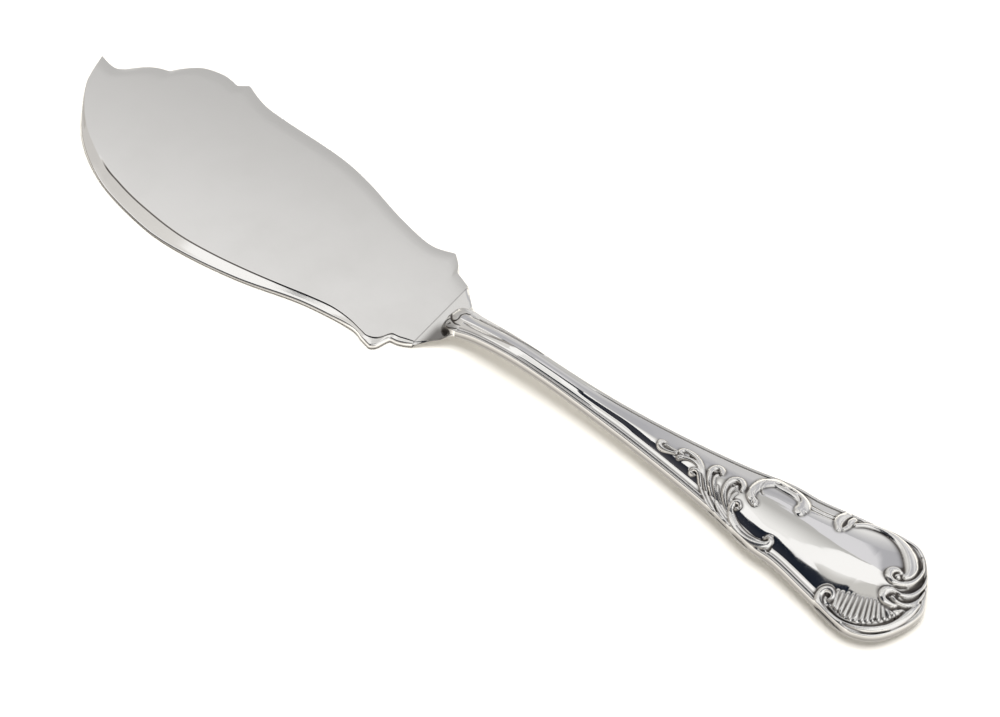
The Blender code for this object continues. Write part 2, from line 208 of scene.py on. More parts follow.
SEAM_TRACK = smooth_run(seam_points(), TRACK_STEPS)
SEAM_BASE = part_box("handle_front")[0].z / MM + END_FALL - 0.5 * SEAM_GAP


def seam_height(x):
    """Height of the seam over the table, read off the smooth run."""
    return SEAM_BASE + np.interp(x, SEAM_TRACK[:, 0], SEAM_TRACK[:, 1])


print("seam over the table at the broad end: %.2f mm" % SEAM_BASE)

# %% [markdown]
# Rows cross the handle square to its axis up to the middle of the broad end. From there they fan
# round that middle, as the ribs of a hand fan do, so the rounded end has even faces. The border
# gets columns of its own, close together, because its fine threads need them.

# %% Rows and columns of the handle
ROW_STEM, ROW_RICH = 0.7, 0.19          # spacing of rows on the plain stem and on the ornament
RICH_FROM = 72.0
FAN_ROWS = 128
WALL_COLUMNS, BORDER_COLUMNS, PANEL_COLUMNS = 5, 20, 58


def handle_rows(stem_step, rich_step, fan_rows):
    """Near outline, centre and far outline point of every row."""
    stem = np.arange(NECK_LENGTH, RICH_FROM, stem_step)
    rich = np.arange(RICH_FROM, FAN_CENTRE, rich_step)
    square = np.concatenate([stem, rich])
    angle = np.linspace(0.5 * np.pi, 0.0, fan_rows)
    sides = []
    for side in (-1.0, 1.0):
        line = handle_side(side)
        straight = np.column_stack([square, np.interp(square, line[:, 0], line[:, 1])])
        turn = np.arctan2(line[:, 1], line[:, 0] - FAN_CENTRE)
        reach = np.hypot(line[:, 0] - FAN_CENTRE, line[:, 1])
        order = np.argsort(turn)
        fan_reach = np.interp(angle, turn[order], reach[order])
        fan = np.column_stack([FAN_CENTRE + fan_reach * np.cos(angle), fan_reach * np.sin(angle)])
        outline = np.vstack([straight, fan])
        outline[:, 1] *= side
        sides.append(outline)
    centre = np.zeros_like(sides[0])
    centre[:, 0] = np.concatenate([square, np.full(fan_rows, FAN_CENTRE)])
    return sides[0], centre, sides[1]


near_line, centre_line, far_line = handle_rows(ROW_STEM, ROW_RICH, FAN_ROWS)
print("the handle's front has", len(near_line), "rows")

# %% [markdown]
# Across the handle the section climbs from the seam up a rounded side wall, crosses the thread
# border and then the panel. On the near side the border has two threads between three grooves, on
# the far side one broad moulding with a single groove. On the stem the panel is a narrow ridge
# with sloping flanks, and it swells to a dome at the broad end.

# %% Section of the handle
THREAD_RISE = 0.3
THREADS = ((0.55, 0.45), (1.42, 0.44))  # middle and half width of each thread
GROOVE_FLOOR = 0.02
BAND_RISE, BAND_START = 0.3, 1.6
NEAR_BORDER = 2.9             # threads and band on the near side
FAR_BORDER = 1.45             # moulding and groove on the far side
FAR_RISE, FAR_WIDTH = 0.3, 0.9          # the moulding
FAR_GROOVE, FAR_PLACE, FAR_HALF = 0.25, 1.25, 0.18      # depth, place and half width of its groove
NEAR_MOST, FAR_MOST = 0.65, 0.4         # most that a border takes of the half width
WALL_LEAN, LEAN_MOST = 0.3, 0.12        # the wall's top lies this far inside the outline
LIP_RUN, GROOVE_RUN = (40.0, 75.0), (46.0, 60.0)        # stations over which moulding and groove grow
ROLL_RUN, DOME_RUN = (42.0, 56.0), (60.0, 74.0)         # the near flank becomes a roll, then the dome
FAR_DOME_RUN = (70.0, 105.0)            # the far flank becomes the dome
CROWN_POINTS = [(NECK_LENGTH, 2.2), (25.0, 2.1), (42.0, 2.1), (58.0, 2.35), (72.0, 2.8), (90.0, 3.5),
                (SHOULDER_SETBACK, END_CROWN), (HANDLE_LENGTH, END_CROWN)]
CROWN_TRACK = smooth_run(CROWN_POINTS, TRACK_STEPS)
CAP_EASE, CAP_REACH = 8.0, 16.1
TIP_BLEND = 0.7               # radians round the tip over which both borders become one


def thread(inset, middle, half_width):
    """Thread with a wave's section: half of one plus the cosine, 1 over its middle and 0 outside."""
    share = np.clip((inset - middle) / half_width, -1.0, 1.0)
    return 0.5 + 0.5 * np.cos(np.pi * share)


def near_border(inset, scale):
    """Height over the rim: two threads between three grooves, then a gently sloped band."""
    d = inset / scale
    threads = THREAD_RISE * sum(thread(d, middle, half_width) for middle, half_width in THREADS)
    return GROOVE_FLOOR + threads + BAND_RISE * smooth_step(BAND_START, NEAR_BORDER, d)


def far_lip(x):
    """Height of the far moulding, low on the stem and higher from the shoulder on."""
    return FAR_RISE * smooth_step(*LIP_RUN, x)


def far_border(inset, scale, x):
    """Height over the rim: a moulding that rises quickly, then a narrow groove shaped like a V."""
    d = inset / scale
    moulding = far_lip(x) * (1.0 - (1.0 - np.clip(d / FAR_WIDTH, 0.0, 1.0)) ** 2)
    groove = FAR_GROOVE * np.clip(1.0 - np.abs(d - FAR_PLACE) / FAR_HALF, 0.0, 1.0)
    return GROOVE_FLOOR + moulding - groove * smooth_step(*GROOVE_RUN, x)


def near_climb(share, dome, x):
    """Climb of the near flank from 0 at the border to 1 at the ridge.

    On the stem a slope with a small step under the ridge, then three times the share squared less
    twice its cube, and from the spray on the dome.
    """
    ridge = 0.75 * share + 0.25 * share ** 6
    roll = share * share * (3.0 - 2.0 * share)
    to_roll, to_dome = smooth_step(*ROLL_RUN, x), smooth_step(*DOME_RUN, x)
    return (1.0 - to_dome) * ((1.0 - to_roll) * ridge + to_roll * roll) + to_dome * dome


def far_climb(share, dome, x):
    """Climb of the far flank: an even slope on the stem, a dome at the broad end."""
    to_dome = smooth_step(*FAR_DOME_RUN, x)
    return (1.0 - to_dome) * share + to_dome * dome


def dome_climb(x, y, share, side):
    """Dome of the panel: one minus the squared share of the half width and of the rounded end.

    Past the fan's centre the half width stays as it is there and the way to the end counts
    instead, with a soft change from the one to the other. What is left over at the border is
    taken off towards it, so that the dome ends level with the border all round.
    """
    past = x - FAN_CENTRE
    ramp = 0.5 * (past + np.sqrt(past ** 2 + CAP_EASE ** 2))
    line = handle_side(side)
    border = FAR_BORDER if side > 0 else NEAR_BORDER
    width = np.maximum(np.interp(x - ramp, line[:, 0], line[:, 1]) - border, 0.5)
    dome = 1.0 - (y / width) ** 2 - (ramp / CAP_REACH) ** 2
    return dome - dome[:, :1] * (1.0 - share) ** 3


def half_section(outline, centre, side):
    """Plan points, heights and thread-free heights of half the front, from the seam to the centre.

    Whole arrays: one row of columns for every point of the outline.
    """
    far = side > 0
    spread = outline - centre
    width = np.hypot(spread[:, 0], spread[:, 1])[:, None]
    x = centre[:, :1]
    turn = np.arctan2(np.abs(spread[:, 1:]), np.maximum(spread[:, :1], 0.0))
    mix = 0.5 * smooth_step(TIP_BLEND, 0.0, turn)
    full, most = (FAR_BORDER, FAR_MOST) if far else (NEAR_BORDER, NEAR_MOST)
    other = NEAR_BORDER if far else FAR_BORDER
    border = np.minimum((1.0 - mix) * full + mix * other, most * width)
    lean = np.minimum(WALL_LEAN, LEAN_MOST * width)
    climb = np.linspace(0.0, 0.5 * np.pi, WALL_COLUMNS, endpoint=False)[None]
    wall_inset = lean * (1.0 - np.cos(climb))
    wall_height = np.broadcast_to(RIM_HEIGHT * np.sin(climb), wall_inset.shape)
    flat = np.linspace(0.0, 1.0, BORDER_COLUMNS, endpoint=False)[None]
    border_inset = lean + (border - lean) * flat
    near_share = mix if far else 1.0 - mix
    lip = near_share * BAND_RISE + (1.0 - near_share) * far_lip(x)
    border_top = (near_share * near_border(border_inset, border / NEAR_BORDER)
                  + (1.0 - near_share) * far_border(border_inset, border / FAR_BORDER, x))
    plain_top = GROOVE_FLOOR + lip * smooth_step(0.0, 1.0, border_inset / border)
    share = np.linspace(0.0, 1.0, PANEL_COLUMNS)[None]
    inset = np.hstack([wall_inset, border_inset, border + (width - border) * share])
    plan = centre[:, None] + spread[:, None] * (1.0 - inset / width)[..., None]
    panel = plan[:, -PANEL_COLUMNS:]
    dome = dome_climb(panel[..., 0], panel[..., 1], share, side)
    climb = far_climb(share, dome, x) if far else near_climb(share, dome, x)
    crown = np.interp(x, CROWN_TRACK[:, 0], CROWN_TRACK[:, 1])
    floor = RIM_HEIGHT + GROOVE_FLOOR + BAND_RISE + (lip - BAND_RISE) * (1.0 - share) ** 2
    panel_top = floor + (crown - floor) * climb
    height = np.hstack([wall_height, RIM_HEIGHT + border_top, panel_top])
    plain = np.hstack([wall_height, RIM_HEIGHT + plain_top, panel_top])
    return plan, height, plain


def handle_grid(rows):
    """Plan points, heights and thread-free heights of the whole front, near seam to far seam."""
    near, centre, far = rows
    halves = half_section(near, centre, -1.0), half_section(far, centre, 1.0)
    return [np.concatenate([a, b[:, -2::-1]], axis=1) for a, b in zip(*halves)]


plan, height, plain = handle_grid((near_line, centre_line, far_line))
print("grid of the front:", plan.shape[:2])

# %% [markdown]
# The ornament is struck relief: scrolls, leaf curls and a shell that stand on the plain section.
# Sculpting would be another way. Here each strand is a line with a width and a height at every
# point, and the surface is lifted to a half-round section over it. Grooves are cut the same way.
# The list of lines is short, so a loop over lines is fine, and each works on whole arrays.

# %% Strands and grooves
FOOT_WIDTH, FOOT_CORE = 0.22, 0.3       # dark ring along a strand's foot, and its share of full darkness
COVER_SHARE = 0.9             # a strand covers older rings inside this share of its half width
BARE_RELIEF = 0.1             # and leaves a ring only where the relief is lower than this
ROLL_POWER = 0.7
LINE_SAMPLES = 6              # samples between two points of a line


def nearest_on_line(line, px, py):
    """Distance of points from a polyline, and the line's extra values at the nearest place.

    A point is dropped square on every piece of the line, clamped to its ends, and the shortest
    drop wins.
    """
    start, step = line[:-1], np.diff(line, axis=0)
    ox, oy = px[:, None] - start[:, 0], py[:, None] - start[:, 1]
    length = np.maximum(step[:, 0] ** 2 + step[:, 1] ** 2, 1e-12)
    t = np.clip((ox * step[:, 0] + oy * step[:, 1]) / length, 0.0, 1.0)
    distance = np.hypot(ox - t * step[:, 0], oy - t * step[:, 1])
    best = np.argmin(distance, axis=1)
    row = np.arange(len(px))
    values = start[best, 2:] + t[row, best][:, None] * step[best, 2:]
    return distance[row, best], values


def beside_line(points, plan):
    """The grid points near a line, their distance as a share of its half width, and its values there."""
    if len(points) == 1:
        x, y, half_width, size = points[0]
        points = [points[0], (x + 0.02, y, half_width, size)]
    line = smooth_run(points, LINE_SAMPLES)
    reach = line[:, 2].max() + 0.05
    low, high = line[:, :2].min(axis=0) - reach, line[:, :2].max(axis=0) + reach
    close = np.all((plan > low) & (plan < high), axis=-1)
    distance, values = nearest_on_line(line, plan[..., 0][close], plan[..., 1][close])
    share = distance / np.maximum(values[:, 0], 1e-6)
    return close, share, values


def add_strand(relief, foot, plan, points):
    """Lift the relief over a line to a roll: height times one minus share squared, to the power 0.7.

    The foot is a narrow ring along the strand's edge, left out where another strand covers it.
    """
    close, share, values = beside_line(points, plan)
    lift = values[:, 1] * np.clip(1.0 - share ** 2, 0.0, 1.0) ** ROLL_POWER
    ring = np.clip(1.0 + FOOT_CORE - np.abs(share - 1.0) * values[:, 0] / FOOT_WIDTH, 0.0, 1.0)
    before = relief[close]
    relief[close] = np.maximum(before, lift)
    foot[close] = np.maximum(foot[close] * (share > COVER_SHARE), ring * (before < BARE_RELIEF))


def add_groove(cut, plan, points):
    """Cut a channel under a line: depth times one minus the squared share of its half width."""
    close, share, values = beside_line(points, plan)
    cut[close] = np.maximum(cut[close], values[:, 1] * np.clip(1.0 - share ** 2, 0.0, 1.0))


print("every line of the ornament gets", LINE_SAMPLES, "samples between two points")

# %% [markdown]
# The leaf spray climbs from the near border to the stem: two tall fronds, three curls and the finer
# strands inside them. Two shallow lines run along the stem near the neck. Each entry gives x, y and
# half width of a point of a line, then a strand's height or a groove's depth, in millimetres.

# %% Lines of the leaf spray
SPRAY_STRANDS = [
    [(75.4, 0.5, 0.45, 0.3), (74.6, 0.2, 0.6, 0.5), (74.4, -0.8, 0.7, 0.6), (75.2, -1.5, 0.7, 0.6),
     (76.4, -1.6, 0.55, 0.55), (78.0, -1.3, 0.45, 0.5), (79.6, -0.8, 0.5, 0.5)],
    [(75.9, -0.4, 0.35, 0.45), (77.0, -0.2, 0.35, 0.4), (78.3, -0.3, 0.35, 0.4), (79.5, -0.2, 0.4, 0.4)],
    [(81.3, -0.1, 0.5, 0.4), (80.4, 0.2, 0.6, 0.5), (80.6, 1.3, 0.7, 0.6), (82.0, 1.8, 0.75, 0.6),
     (84.0, 1.7, 0.75, 0.55), (86.0, 0.8, 0.75, 0.5), (88.0, -0.8, 0.7, 0.5), (89.6, -2.4, 0.6, 0.45),
     (91.5, -4.4, 0.5, 0.4), (95.0, -6.9, 0.42, 0.38), (98.8, -8.8, 0.38, 0.35), (102.2, -10.0, 0.3, 0.25)],
    [(81.0, -1.3, 0.85, 0.55), (82.5, -0.5, 0.6, 0.45), (84.5, 0.0, 0.6, 0.4), (86.5, -0.4, 0.6, 0.4),
     (88.4, -1.9, 0.5, 0.4)],
    [(86.9, -3.0, 0.4, 0.45), (86.2, -3.2, 0.5, 0.5), (85.8, -2.6, 0.55, 0.55), (86.3, -1.9, 0.6, 0.6),
     (87.4, -1.9, 0.6, 0.55), (88.6, -2.9, 0.5, 0.5), (90.2, -4.6, 0.45, 0.42), (92.3, -6.2, 0.4, 0.4),
     (95.4, -8.0, 0.36, 0.36), (98.6, -9.5, 0.3, 0.25)],
    [(103.1, -9.6, 0.3, 0.25), (98.6, -7.8, 0.4, 0.4), (94.8, -5.6, 0.5, 0.45), (92.0, -3.3, 0.6, 0.52),
     (90.6, -1.3, 0.75, 0.6), (90.1, 0.3, 0.8, 0.65), (90.4, 1.7, 0.85, 0.7), (91.3, 2.4, 0.9, 0.75),
     (92.3, 2.2, 0.85, 0.7), (92.9, 1.3, 0.7, 0.6)],
    [(92.3, 0.1, 0.5, 0.4), (92.1, -1.0, 0.5, 0.42), (93.2, -2.9, 0.5, 0.42), (96.2, -5.7, 0.42, 0.4),
     (99.6, -7.5, 0.38, 0.36), (103.7, -9.2, 0.3, 0.25)],
    [(94.0, -2.4, 0.3, 0.3), (95.2, -3.9, 0.36, 0.36), (97.4, -5.7, 0.38, 0.38), (100.3, -7.2, 0.36, 0.35),
     (104.0, -8.9, 0.3, 0.25)],
    [(104.3, -8.6, 0.3, 0.25), (100.6, -6.8, 0.42, 0.4), (98.0, -5.0, 0.55, 0.46), (96.3, -2.8, 0.68, 0.54),
     (95.8, -1.0, 0.75, 0.6), (95.9, 0.3, 0.8, 0.65), (96.5, 1.6, 0.85, 0.7), (97.6, 2.3, 0.9, 0.75),
     (98.8, 2.0, 0.85, 0.7), (99.7, 1.0, 0.75, 0.65), (100.0, -0.2, 0.6, 0.5)],
    [(98.4, 0.3, 0.4, 0.4), (97.6, -1.4, 0.5, 0.45), (98.1, -3.4, 0.46, 0.42), (99.7, -5.3, 0.4, 0.4),
     (102.0, -6.9, 0.36, 0.35), (105.0, -8.3, 0.3, 0.25)],
    [(99.3, -1.4, 0.4, 0.4), (98.9, -2.8, 0.4, 0.38), (99.7, -4.5, 0.4, 0.38), (101.2, -6.0, 0.36, 0.35),
     (103.6, -7.5, 0.3, 0.25)],
]
SPRAY_GROOVES = [
    [(76.3, -1.0, 0.2, 0.25), (77.6, -0.8, 0.2, 0.3), (79.0, -0.6, 0.2, 0.2)],
    [(80.8, -1.8, 0.25, 0.3), (81.4, -1.0, 0.2, 0.25)],
    [(82.9, 0.8, 0.2, 0.25), (83.9, 0.9, 0.3, 0.35), (85.0, 0.7, 0.2, 0.2)],
    [(86.0, -2.8, 0.2, 0.3), (86.6, -2.4, 0.25, 0.35), (87.4, -2.6, 0.2, 0.25)],
    [(91.1, -0.5, 0.25, 0.35), (91.3, 0.4, 0.3, 0.4), (92.0, 0.8, 0.3, 0.4), (92.9, 0.4, 0.25, 0.3)],
    [(97.3, 0.6, 0.25, 0.35), (98.0, 1.1, 0.3, 0.4), (98.8, 0.5, 0.3, 0.35), (99.4, -0.4, 0.25, 0.3)],
    [(97.2, -0.2, 0.25, 0.3), (98.0, -0.6, 0.25, 0.3)],
    [(95.6, -6.1, 0.2, 0.4), (96.6, -7.1, 0.25, 0.5), (97.8, -8.1, 0.2, 0.4)],
    [(92.2, -3.9, 0.2, 0.3), (93.4, -5.3, 0.2, 0.3)],
]
STEM_GROOVES = [
    [(9.4, 2.1, 0.25, 0.2), (11.5, 2.4, 0.32, 0.34), (15.0, 2.45, 0.32, 0.34), (20.0, 2.5, 0.3, 0.3),
     (26.0, 2.6, 0.28, 0.24), (34.0, 2.8, 0.25, 0.12)],
    [(9.4, -0.9, 0.22, 0.18), (13.0, -1.05, 0.28, 0.28), (17.0, -1.0, 0.28, 0.28), (21.0, -0.6, 0.25, 0.24),
     (25.5, -0.2, 0.2, 0.14)],
]
print("leaf spray:", len(SPRAY_STRANDS), "strands, and", len(STEM_GROOVES), "lines along the stem")

# %% [markdown]
# Scrolls shaped like the letter C hold the panel on both sides. On the far side a leaf curl follows,
# with two short lines on the way to it.

# %% Lines of the scrolls beside the panel
SCROLL_STRANDS = [
    [(104.6, -1.3, 1.1, 0.75), (103.0, -0.4, 1.3, 0.75), (102.3, 1.2, 1.2, 0.75), (102.4, 3.5, 1.4, 0.8),
     (103.1, 6.0, 1.7, 0.85), (105.0, 8.0, 1.75, 0.85), (108.0, 8.3, 1.8, 0.85), (111.5, 8.3, 1.75, 0.85),
     (114.0, 7.5, 1.7, 0.85), (115.2, 5.8, 1.8, 0.8), (115.2, 4.2, 1.75, 0.75), (115.4, 3.8, 1.4, 0.7)],
    [(125.9, 5.9, 0.9, 0.6), (125.0, 7.0, 1.1, 0.75), (124.4, 8.6, 1.3, 0.8), (124.5, 10.3, 1.4, 0.8),
     (125.0, 11.8, 1.2, 0.6)],
    [(126.9, 6.8, 0.6, 0.6), (127.2, 8.4, 0.7, 0.7), (126.9, 10.0, 1.0, 0.75), (127.0, 11.6, 0.9, 0.6)],
    [(101.5, -5.1, 0.4, 0.5), (102.0, -4.0, 0.6, 0.6), (101.0, -3.4, 0.75, 0.7), (100.2, -4.4, 0.8, 0.75),
     (100.7, -6.2, 0.95, 0.8), (102.4, -7.8, 1.2, 0.85), (104.8, -9.1, 1.3, 0.85), (107.5, -9.9, 1.35, 0.85),
     (110.5, -9.9, 1.35, 0.85), (112.8, -9.2, 1.3, 0.85), (114.0, -8.1, 1.0, 0.8), (113.7, -7.0, 0.7, 0.7),
     (112.8, -6.8, 0.55, 0.6), (112.4, -7.5, 0.4, 0.5)],
]
SCROLL_GROOVES = [
    [(103.2, 6.5, 0.2, 0.25), (103.1, 4.8, 0.25, 0.3), (103.5, 3.3, 0.25, 0.3), (104.4, 2.4, 0.25, 0.3),
     (105.0, 2.2, 0.2, 0.25)],
    [(102.0, 2.5, 0.2, 0.2), (102.5, 1.3, 0.22, 0.25), (103.5, 0.4, 0.22, 0.25), (104.5, 0.2, 0.2, 0.2)],
    [(103.6, -0.9, 0.2, 0.3), (104.4, -1.8, 0.3, 0.4)],
    [(104.9, -0.9, 0.25, 0.35), (105.3, -1.8, 0.25, 0.35)],
    [(105.4, 7.6, 0.3, 0.25), (106.6, 8.1, 0.4, 0.45), (107.8, 8.2, 0.3, 0.3)],
    [(108.8, 8.4, 0.3, 0.3), (110.0, 8.5, 0.4, 0.5), (111.2, 8.4, 0.3, 0.3)],
    [(112.0, 8.1, 0.3, 0.3), (113.0, 7.5, 0.4, 0.45), (113.7, 6.6, 0.3, 0.3)],
    [(116.5, 8.0, 0.25, 0.3), (119.5, 8.3, 0.25, 0.3), (122.9, 9.0, 0.25, 0.3)],
    [(117.0, 6.6, 0.25, 0.3), (120.0, 7.1, 0.25, 0.3), (123.2, 7.8, 0.25, 0.3)],
    [(126.2, 12.0, 0.2, 0.25), (125.8, 10.9, 0.25, 0.35), (125.9, 9.6, 0.25, 0.35), (126.6, 8.8, 0.25, 0.3),
     (127.3, 8.4, 0.2, 0.2)],
    [(125.8, 6.1, 0.25, 0.35), (126.3, 5.4, 0.25, 0.35)],
    [(126.7, 6.6, 0.2, 0.3)],
    [(104.6, -8.9, 0.2, 0.2), (106.5, -9.5, 0.28, 0.3), (109.0, -9.7, 0.3, 0.32), (111.8, -9.2, 0.25, 0.25)],
    [(112.0, -7.2, 0.2, 0.25), (112.5, -6.5, 0.22, 0.3), (113.6, -6.5, 0.25, 0.35), (114.5, -7.5, 0.28, 0.4),
     (114.9, -8.9, 0.28, 0.4), (114.7, -10.2, 0.2, 0.3)],
    [(100.6, -4.1, 0.2, 0.3), (101.3, -4.2, 0.25, 0.4), (102.0, -4.6, 0.2, 0.3)],
]
print("scrolls beside the panel:", len(SCROLL_STRANDS), "strands")

# %% [markdown]
# The broad end carries a large scroll that turns into two volutes, and a shell in the near corner
# with a thick roll round it.

# %% Lines of the broad end
END_STRANDS = [
    [(128.4, 10.2, 0.7, 0.6), (130.0, 12.0, 0.85, 0.7), (132.5, 13.2, 0.85, 0.75), (135.5, 13.9, 0.9, 0.8),
     (138.5, 13.9, 1.2, 0.85), (141.5, 13.0, 1.6, 0.9), (144.3, 11.2, 1.9, 0.95), (146.4, 8.8, 1.9, 0.95),
     (147.0, 6.6, 1.5, 0.9), (146.6, 5.2, 1.0, 0.8)],
    [(147.0, 13.2, 0.45, 0.45), (148.6, 11.2, 0.55, 0.6), (149.1, 9.0, 0.6, 0.7), (149.0, 6.8, 0.65, 0.75),
     (148.2, 4.6, 0.8, 0.8), (146.6, 2.7, 0.9, 0.85), (144.7, 2.2, 1.05, 0.85), (143.2, 3.0, 1.15, 0.85),
     (142.9, 4.5, 1.1, 0.85), (143.9, 5.6, 0.95, 0.8), (145.1, 5.6, 0.7, 0.7)],
    [(145.0, 4.2, 0.85, 0.7)],
    [(150.6, 9.6, 0.4, 0.4), (151.3, 7.4, 0.5, 0.5), (151.3, 5.0, 0.55, 0.6), (150.7, 2.8, 0.6, 0.65),
     (149.6, 1.2, 0.65, 0.7), (148.4, 0.4, 0.6, 0.65), (147.6, 0.6, 0.4, 0.5)],
    [(152.4, 5.5, 0.4, 0.4), (152.6, 3.0, 0.5, 0.55), (152.1, 0.7, 0.55, 0.6), (151.1, -0.8, 0.6, 0.65),
     (149.8, -1.7, 0.65, 0.7), (148.3, -1.9, 0.6, 0.7), (147.2, -1.6, 0.6, 0.65)],
    [(147.2, 0.3, 0.5, 0.55), (145.9, 0.0, 0.9, 0.75), (144.8, -1.2, 1.05, 0.8), (144.8, -2.8, 1.05, 0.8),
     (146.0, -3.7, 1.0, 0.8), (147.6, -3.5, 0.8, 0.75), (149.0, -2.9, 0.6, 0.65)],
    [(134.9, -11.9, 0.5, 0.6), (135.2, -10.8, 0.7, 0.75), (134.5, -9.9, 0.85, 0.85), (133.2, -9.8, 0.95, 0.9),
     (132.2, -11.0, 1.0, 0.9), (132.3, -12.7, 1.05, 0.9), (133.5, -14.2, 1.1, 0.9), (136.0, -15.1, 1.1, 0.85),
     (139.0, -15.4, 1.1, 0.8), (142.0, -15.0, 1.1, 0.8), (145.0, -13.8, 1.1, 0.8), (148.0, -11.5, 1.1, 0.8),
     (150.5, -8.6, 1.1, 0.8), (152.0, -5.3, 1.1, 0.8), (152.8, -2.0, 1.0, 0.75), (153.0, 1.5, 0.8, 0.6)],
]
END_GROOVES = [
    [(128.0, 11.5, 0.2, 0.25), (129.5, 13.0, 0.25, 0.3), (132.0, 14.2, 0.25, 0.3), (135.5, 14.8, 0.2, 0.25)],
    [(147.0, 12.2, 0.25, 0.3), (148.1, 10.5, 0.3, 0.45), (148.4, 8.5, 0.3, 0.5), (148.2, 6.5, 0.3, 0.5),
     (147.4, 4.9, 0.3, 0.5), (146.4, 4.3, 0.3, 0.45), (145.6, 5.0, 0.25, 0.35)],
    [(145.3, 5.3, 0.2, 0.3), (144.4, 5.1, 0.25, 0.35), (144.0, 4.3, 0.25, 0.4), (144.2, 3.5, 0.22, 0.35),
     (144.9, 3.0, 0.2, 0.25)],
    [(145.9, 1.4, 0.3, 0.4), (147.0, 2.0, 0.45, 0.6), (148.2, 3.2, 0.35, 0.5)],
    [(147.8, 13.2, 0.3, 0.2), (149.3, 11.0, 0.4, 0.35), (150.1, 8.8, 0.6, 0.45), (150.3, 6.8, 0.7, 0.5),
     (150.0, 5.0, 0.7, 0.5), (149.2, 3.2, 0.6, 0.5), (148.0, 1.7, 0.5, 0.45), (146.8, 1.0, 0.3, 0.3)],
    [(152.0, 6.3, 0.2, 0.3), (152.1, 4.5, 0.25, 0.4), (151.8, 2.8, 0.3, 0.45), (151.1, 1.2, 0.3, 0.5),
     (150.0, 0.0, 0.3, 0.5), (148.8, -0.8, 0.3, 0.5), (147.8, -0.6, 0.25, 0.4), (147.3, 0.1, 0.2, 0.3)],
    [(147.0, -0.3, 0.2, 0.3), (146.3, -0.8, 0.22, 0.35), (146.0, -1.6, 0.22, 0.35), (146.4, -2.4, 0.22, 0.35),
     (147.3, -2.7, 0.22, 0.35), (148.6, -2.6, 0.22, 0.35), (149.8, -2.1, 0.2, 0.3)],
    [(151.6, -1.6, 0.25, 0.4), (150.4, -2.1, 0.35, 0.55), (149.3, -3.2, 0.45, 0.65),
     (148.6, -4.4, 0.35, 0.5)],
    [(153.1, 2.7, 0.2, 0.25), (153.1, 1.2, 0.22, 0.3), (152.6, -0.5, 0.22, 0.3), (151.7, -1.6, 0.2, 0.3)],
    [(135.6, -13.2, 0.35, 0.5), (137.5, -13.9, 0.45, 0.7), (140.0, -14.2, 0.5, 0.75),
     (143.0, -13.6, 0.5, 0.75), (146.0, -12.0, 0.5, 0.75), (148.5, -9.7, 0.5, 0.75),
     (150.2, -7.2, 0.5, 0.75), (151.0, -4.8, 0.45, 0.6), (151.2, -3.0, 0.35, 0.5)],
    [(138.6, -13.0, 0.5, 0.5)],
    [(143.0, -11.9, 0.45, 0.5)],
    [(146.8, -9.2, 0.45, 0.5)],
    [(149.7, -5.4, 0.4, 0.45)],
    [(133.4, -10.9, 0.3, 0.5), (134.3, -11.0, 0.35, 0.6)],
    [(132.6, -12.0, 0.2, 0.3), (133.2, -13.0, 0.25, 0.35), (134.6, -13.9, 0.25, 0.35),
     (136.2, -14.6, 0.2, 0.25)],
    [(141.0, -15.3, 0.25, 0.25), (143.5, -15.0, 0.35, 0.4), (146.5, -13.8, 0.35, 0.4),
     (149.2, -11.8, 0.3, 0.4), (151.4, -9.2, 0.25, 0.25)],
]
print("broad end:", len(END_STRANDS), "strands")

# %% [markdown]
# The shell is a fan of ribs between an upper and a lower edge. Both edges are smooth runs, and
# every rib joins the same share of the one to the same share of the other.

# %% Ribs of the shell
SHELL_UPPER = [(135.7, -8.9), (137.5, -8.3), (139.3, -7.6), (141.0, -7.0), (142.6, -6.2), (143.9, -5.4),
               (145.5, -5.2), (147.3, -5.3), (148.8, -4.9)]
SHELL_LOWER = [(136.8, -12.4), (138.3, -12.7), (140.2, -12.9), (142.3, -12.5), (144.4, -11.4), (146.1, -10.2),
               (147.7, -8.7), (149.1, -6.9), (150.0, -5.2)]
RIBS = 13
RIB_SIZES = ((0.36, 0.32), (0.45, 0.42), (0.54, 0.5))   # half width and height from end to end


def shell_ribs():
    """Strands from the upper to the lower edge, a little wider at the lower end."""
    share = np.linspace(0, len(SHELL_UPPER) - 1, RIBS) / (len(SHELL_UPPER) - 1)
    upper, lower = smooth_run(SHELL_UPPER, 12), smooth_run(SHELL_LOWER, 12)
    pick = np.round(share * (len(upper) - 1)).astype(int)
    return [[(*place, *size) for place, size in zip((a, 0.5 * (a + b), b), RIB_SIZES)]
            for a, b in zip(upper[pick], lower[pick])]


RIB_STRANDS = shell_ribs()
print("ribs of the shell:", len(RIB_STRANDS))

# %% [markdown]
# Now the relief is put together: strands lift the thread-free section, the highest one wins, and
# grooves are cut last. A light blur rounds off the steps of the grid. How deep a point lies below
# its surroundings is kept as an attribute, because old silver keeps dark polish in its hollows.
# The same attribute carries painted shade on the side walls, darkest along the seam.

# %% Relief on the section
FRONT_RELIEF, FRONT_SPREAD = 1.0, 14    # share of the relief that is struck, rounds of blur for hollows
WALL_PAINTED_SHADE = 0.85           # painted shade on the side wall, darkest along the seam, for the shadowed table it mirrors
FOOT_RESIDUE = 0.6            # dark polish along the feet of the strands
HOLLOW_DEPTH = 0.17           # a hollow this deep is fully dark
WORKED_FROM = 0.03            # relief or grooves over this count as ornament


def blur_grid(values, rounds):
    """Average with the neighbours in both directions, with weights of one, two and one."""
    for _ in range(rounds):
        padded = np.pad(values, 1, mode="edge")
        across = 0.25 * padded[:, :-2] + 0.5 * padded[:, 1:-1] + 0.25 * padded[:, 2:]
        values = 0.25 * across[:-2] + 0.5 * across[1:-1] + 0.25 * across[2:]
    return values


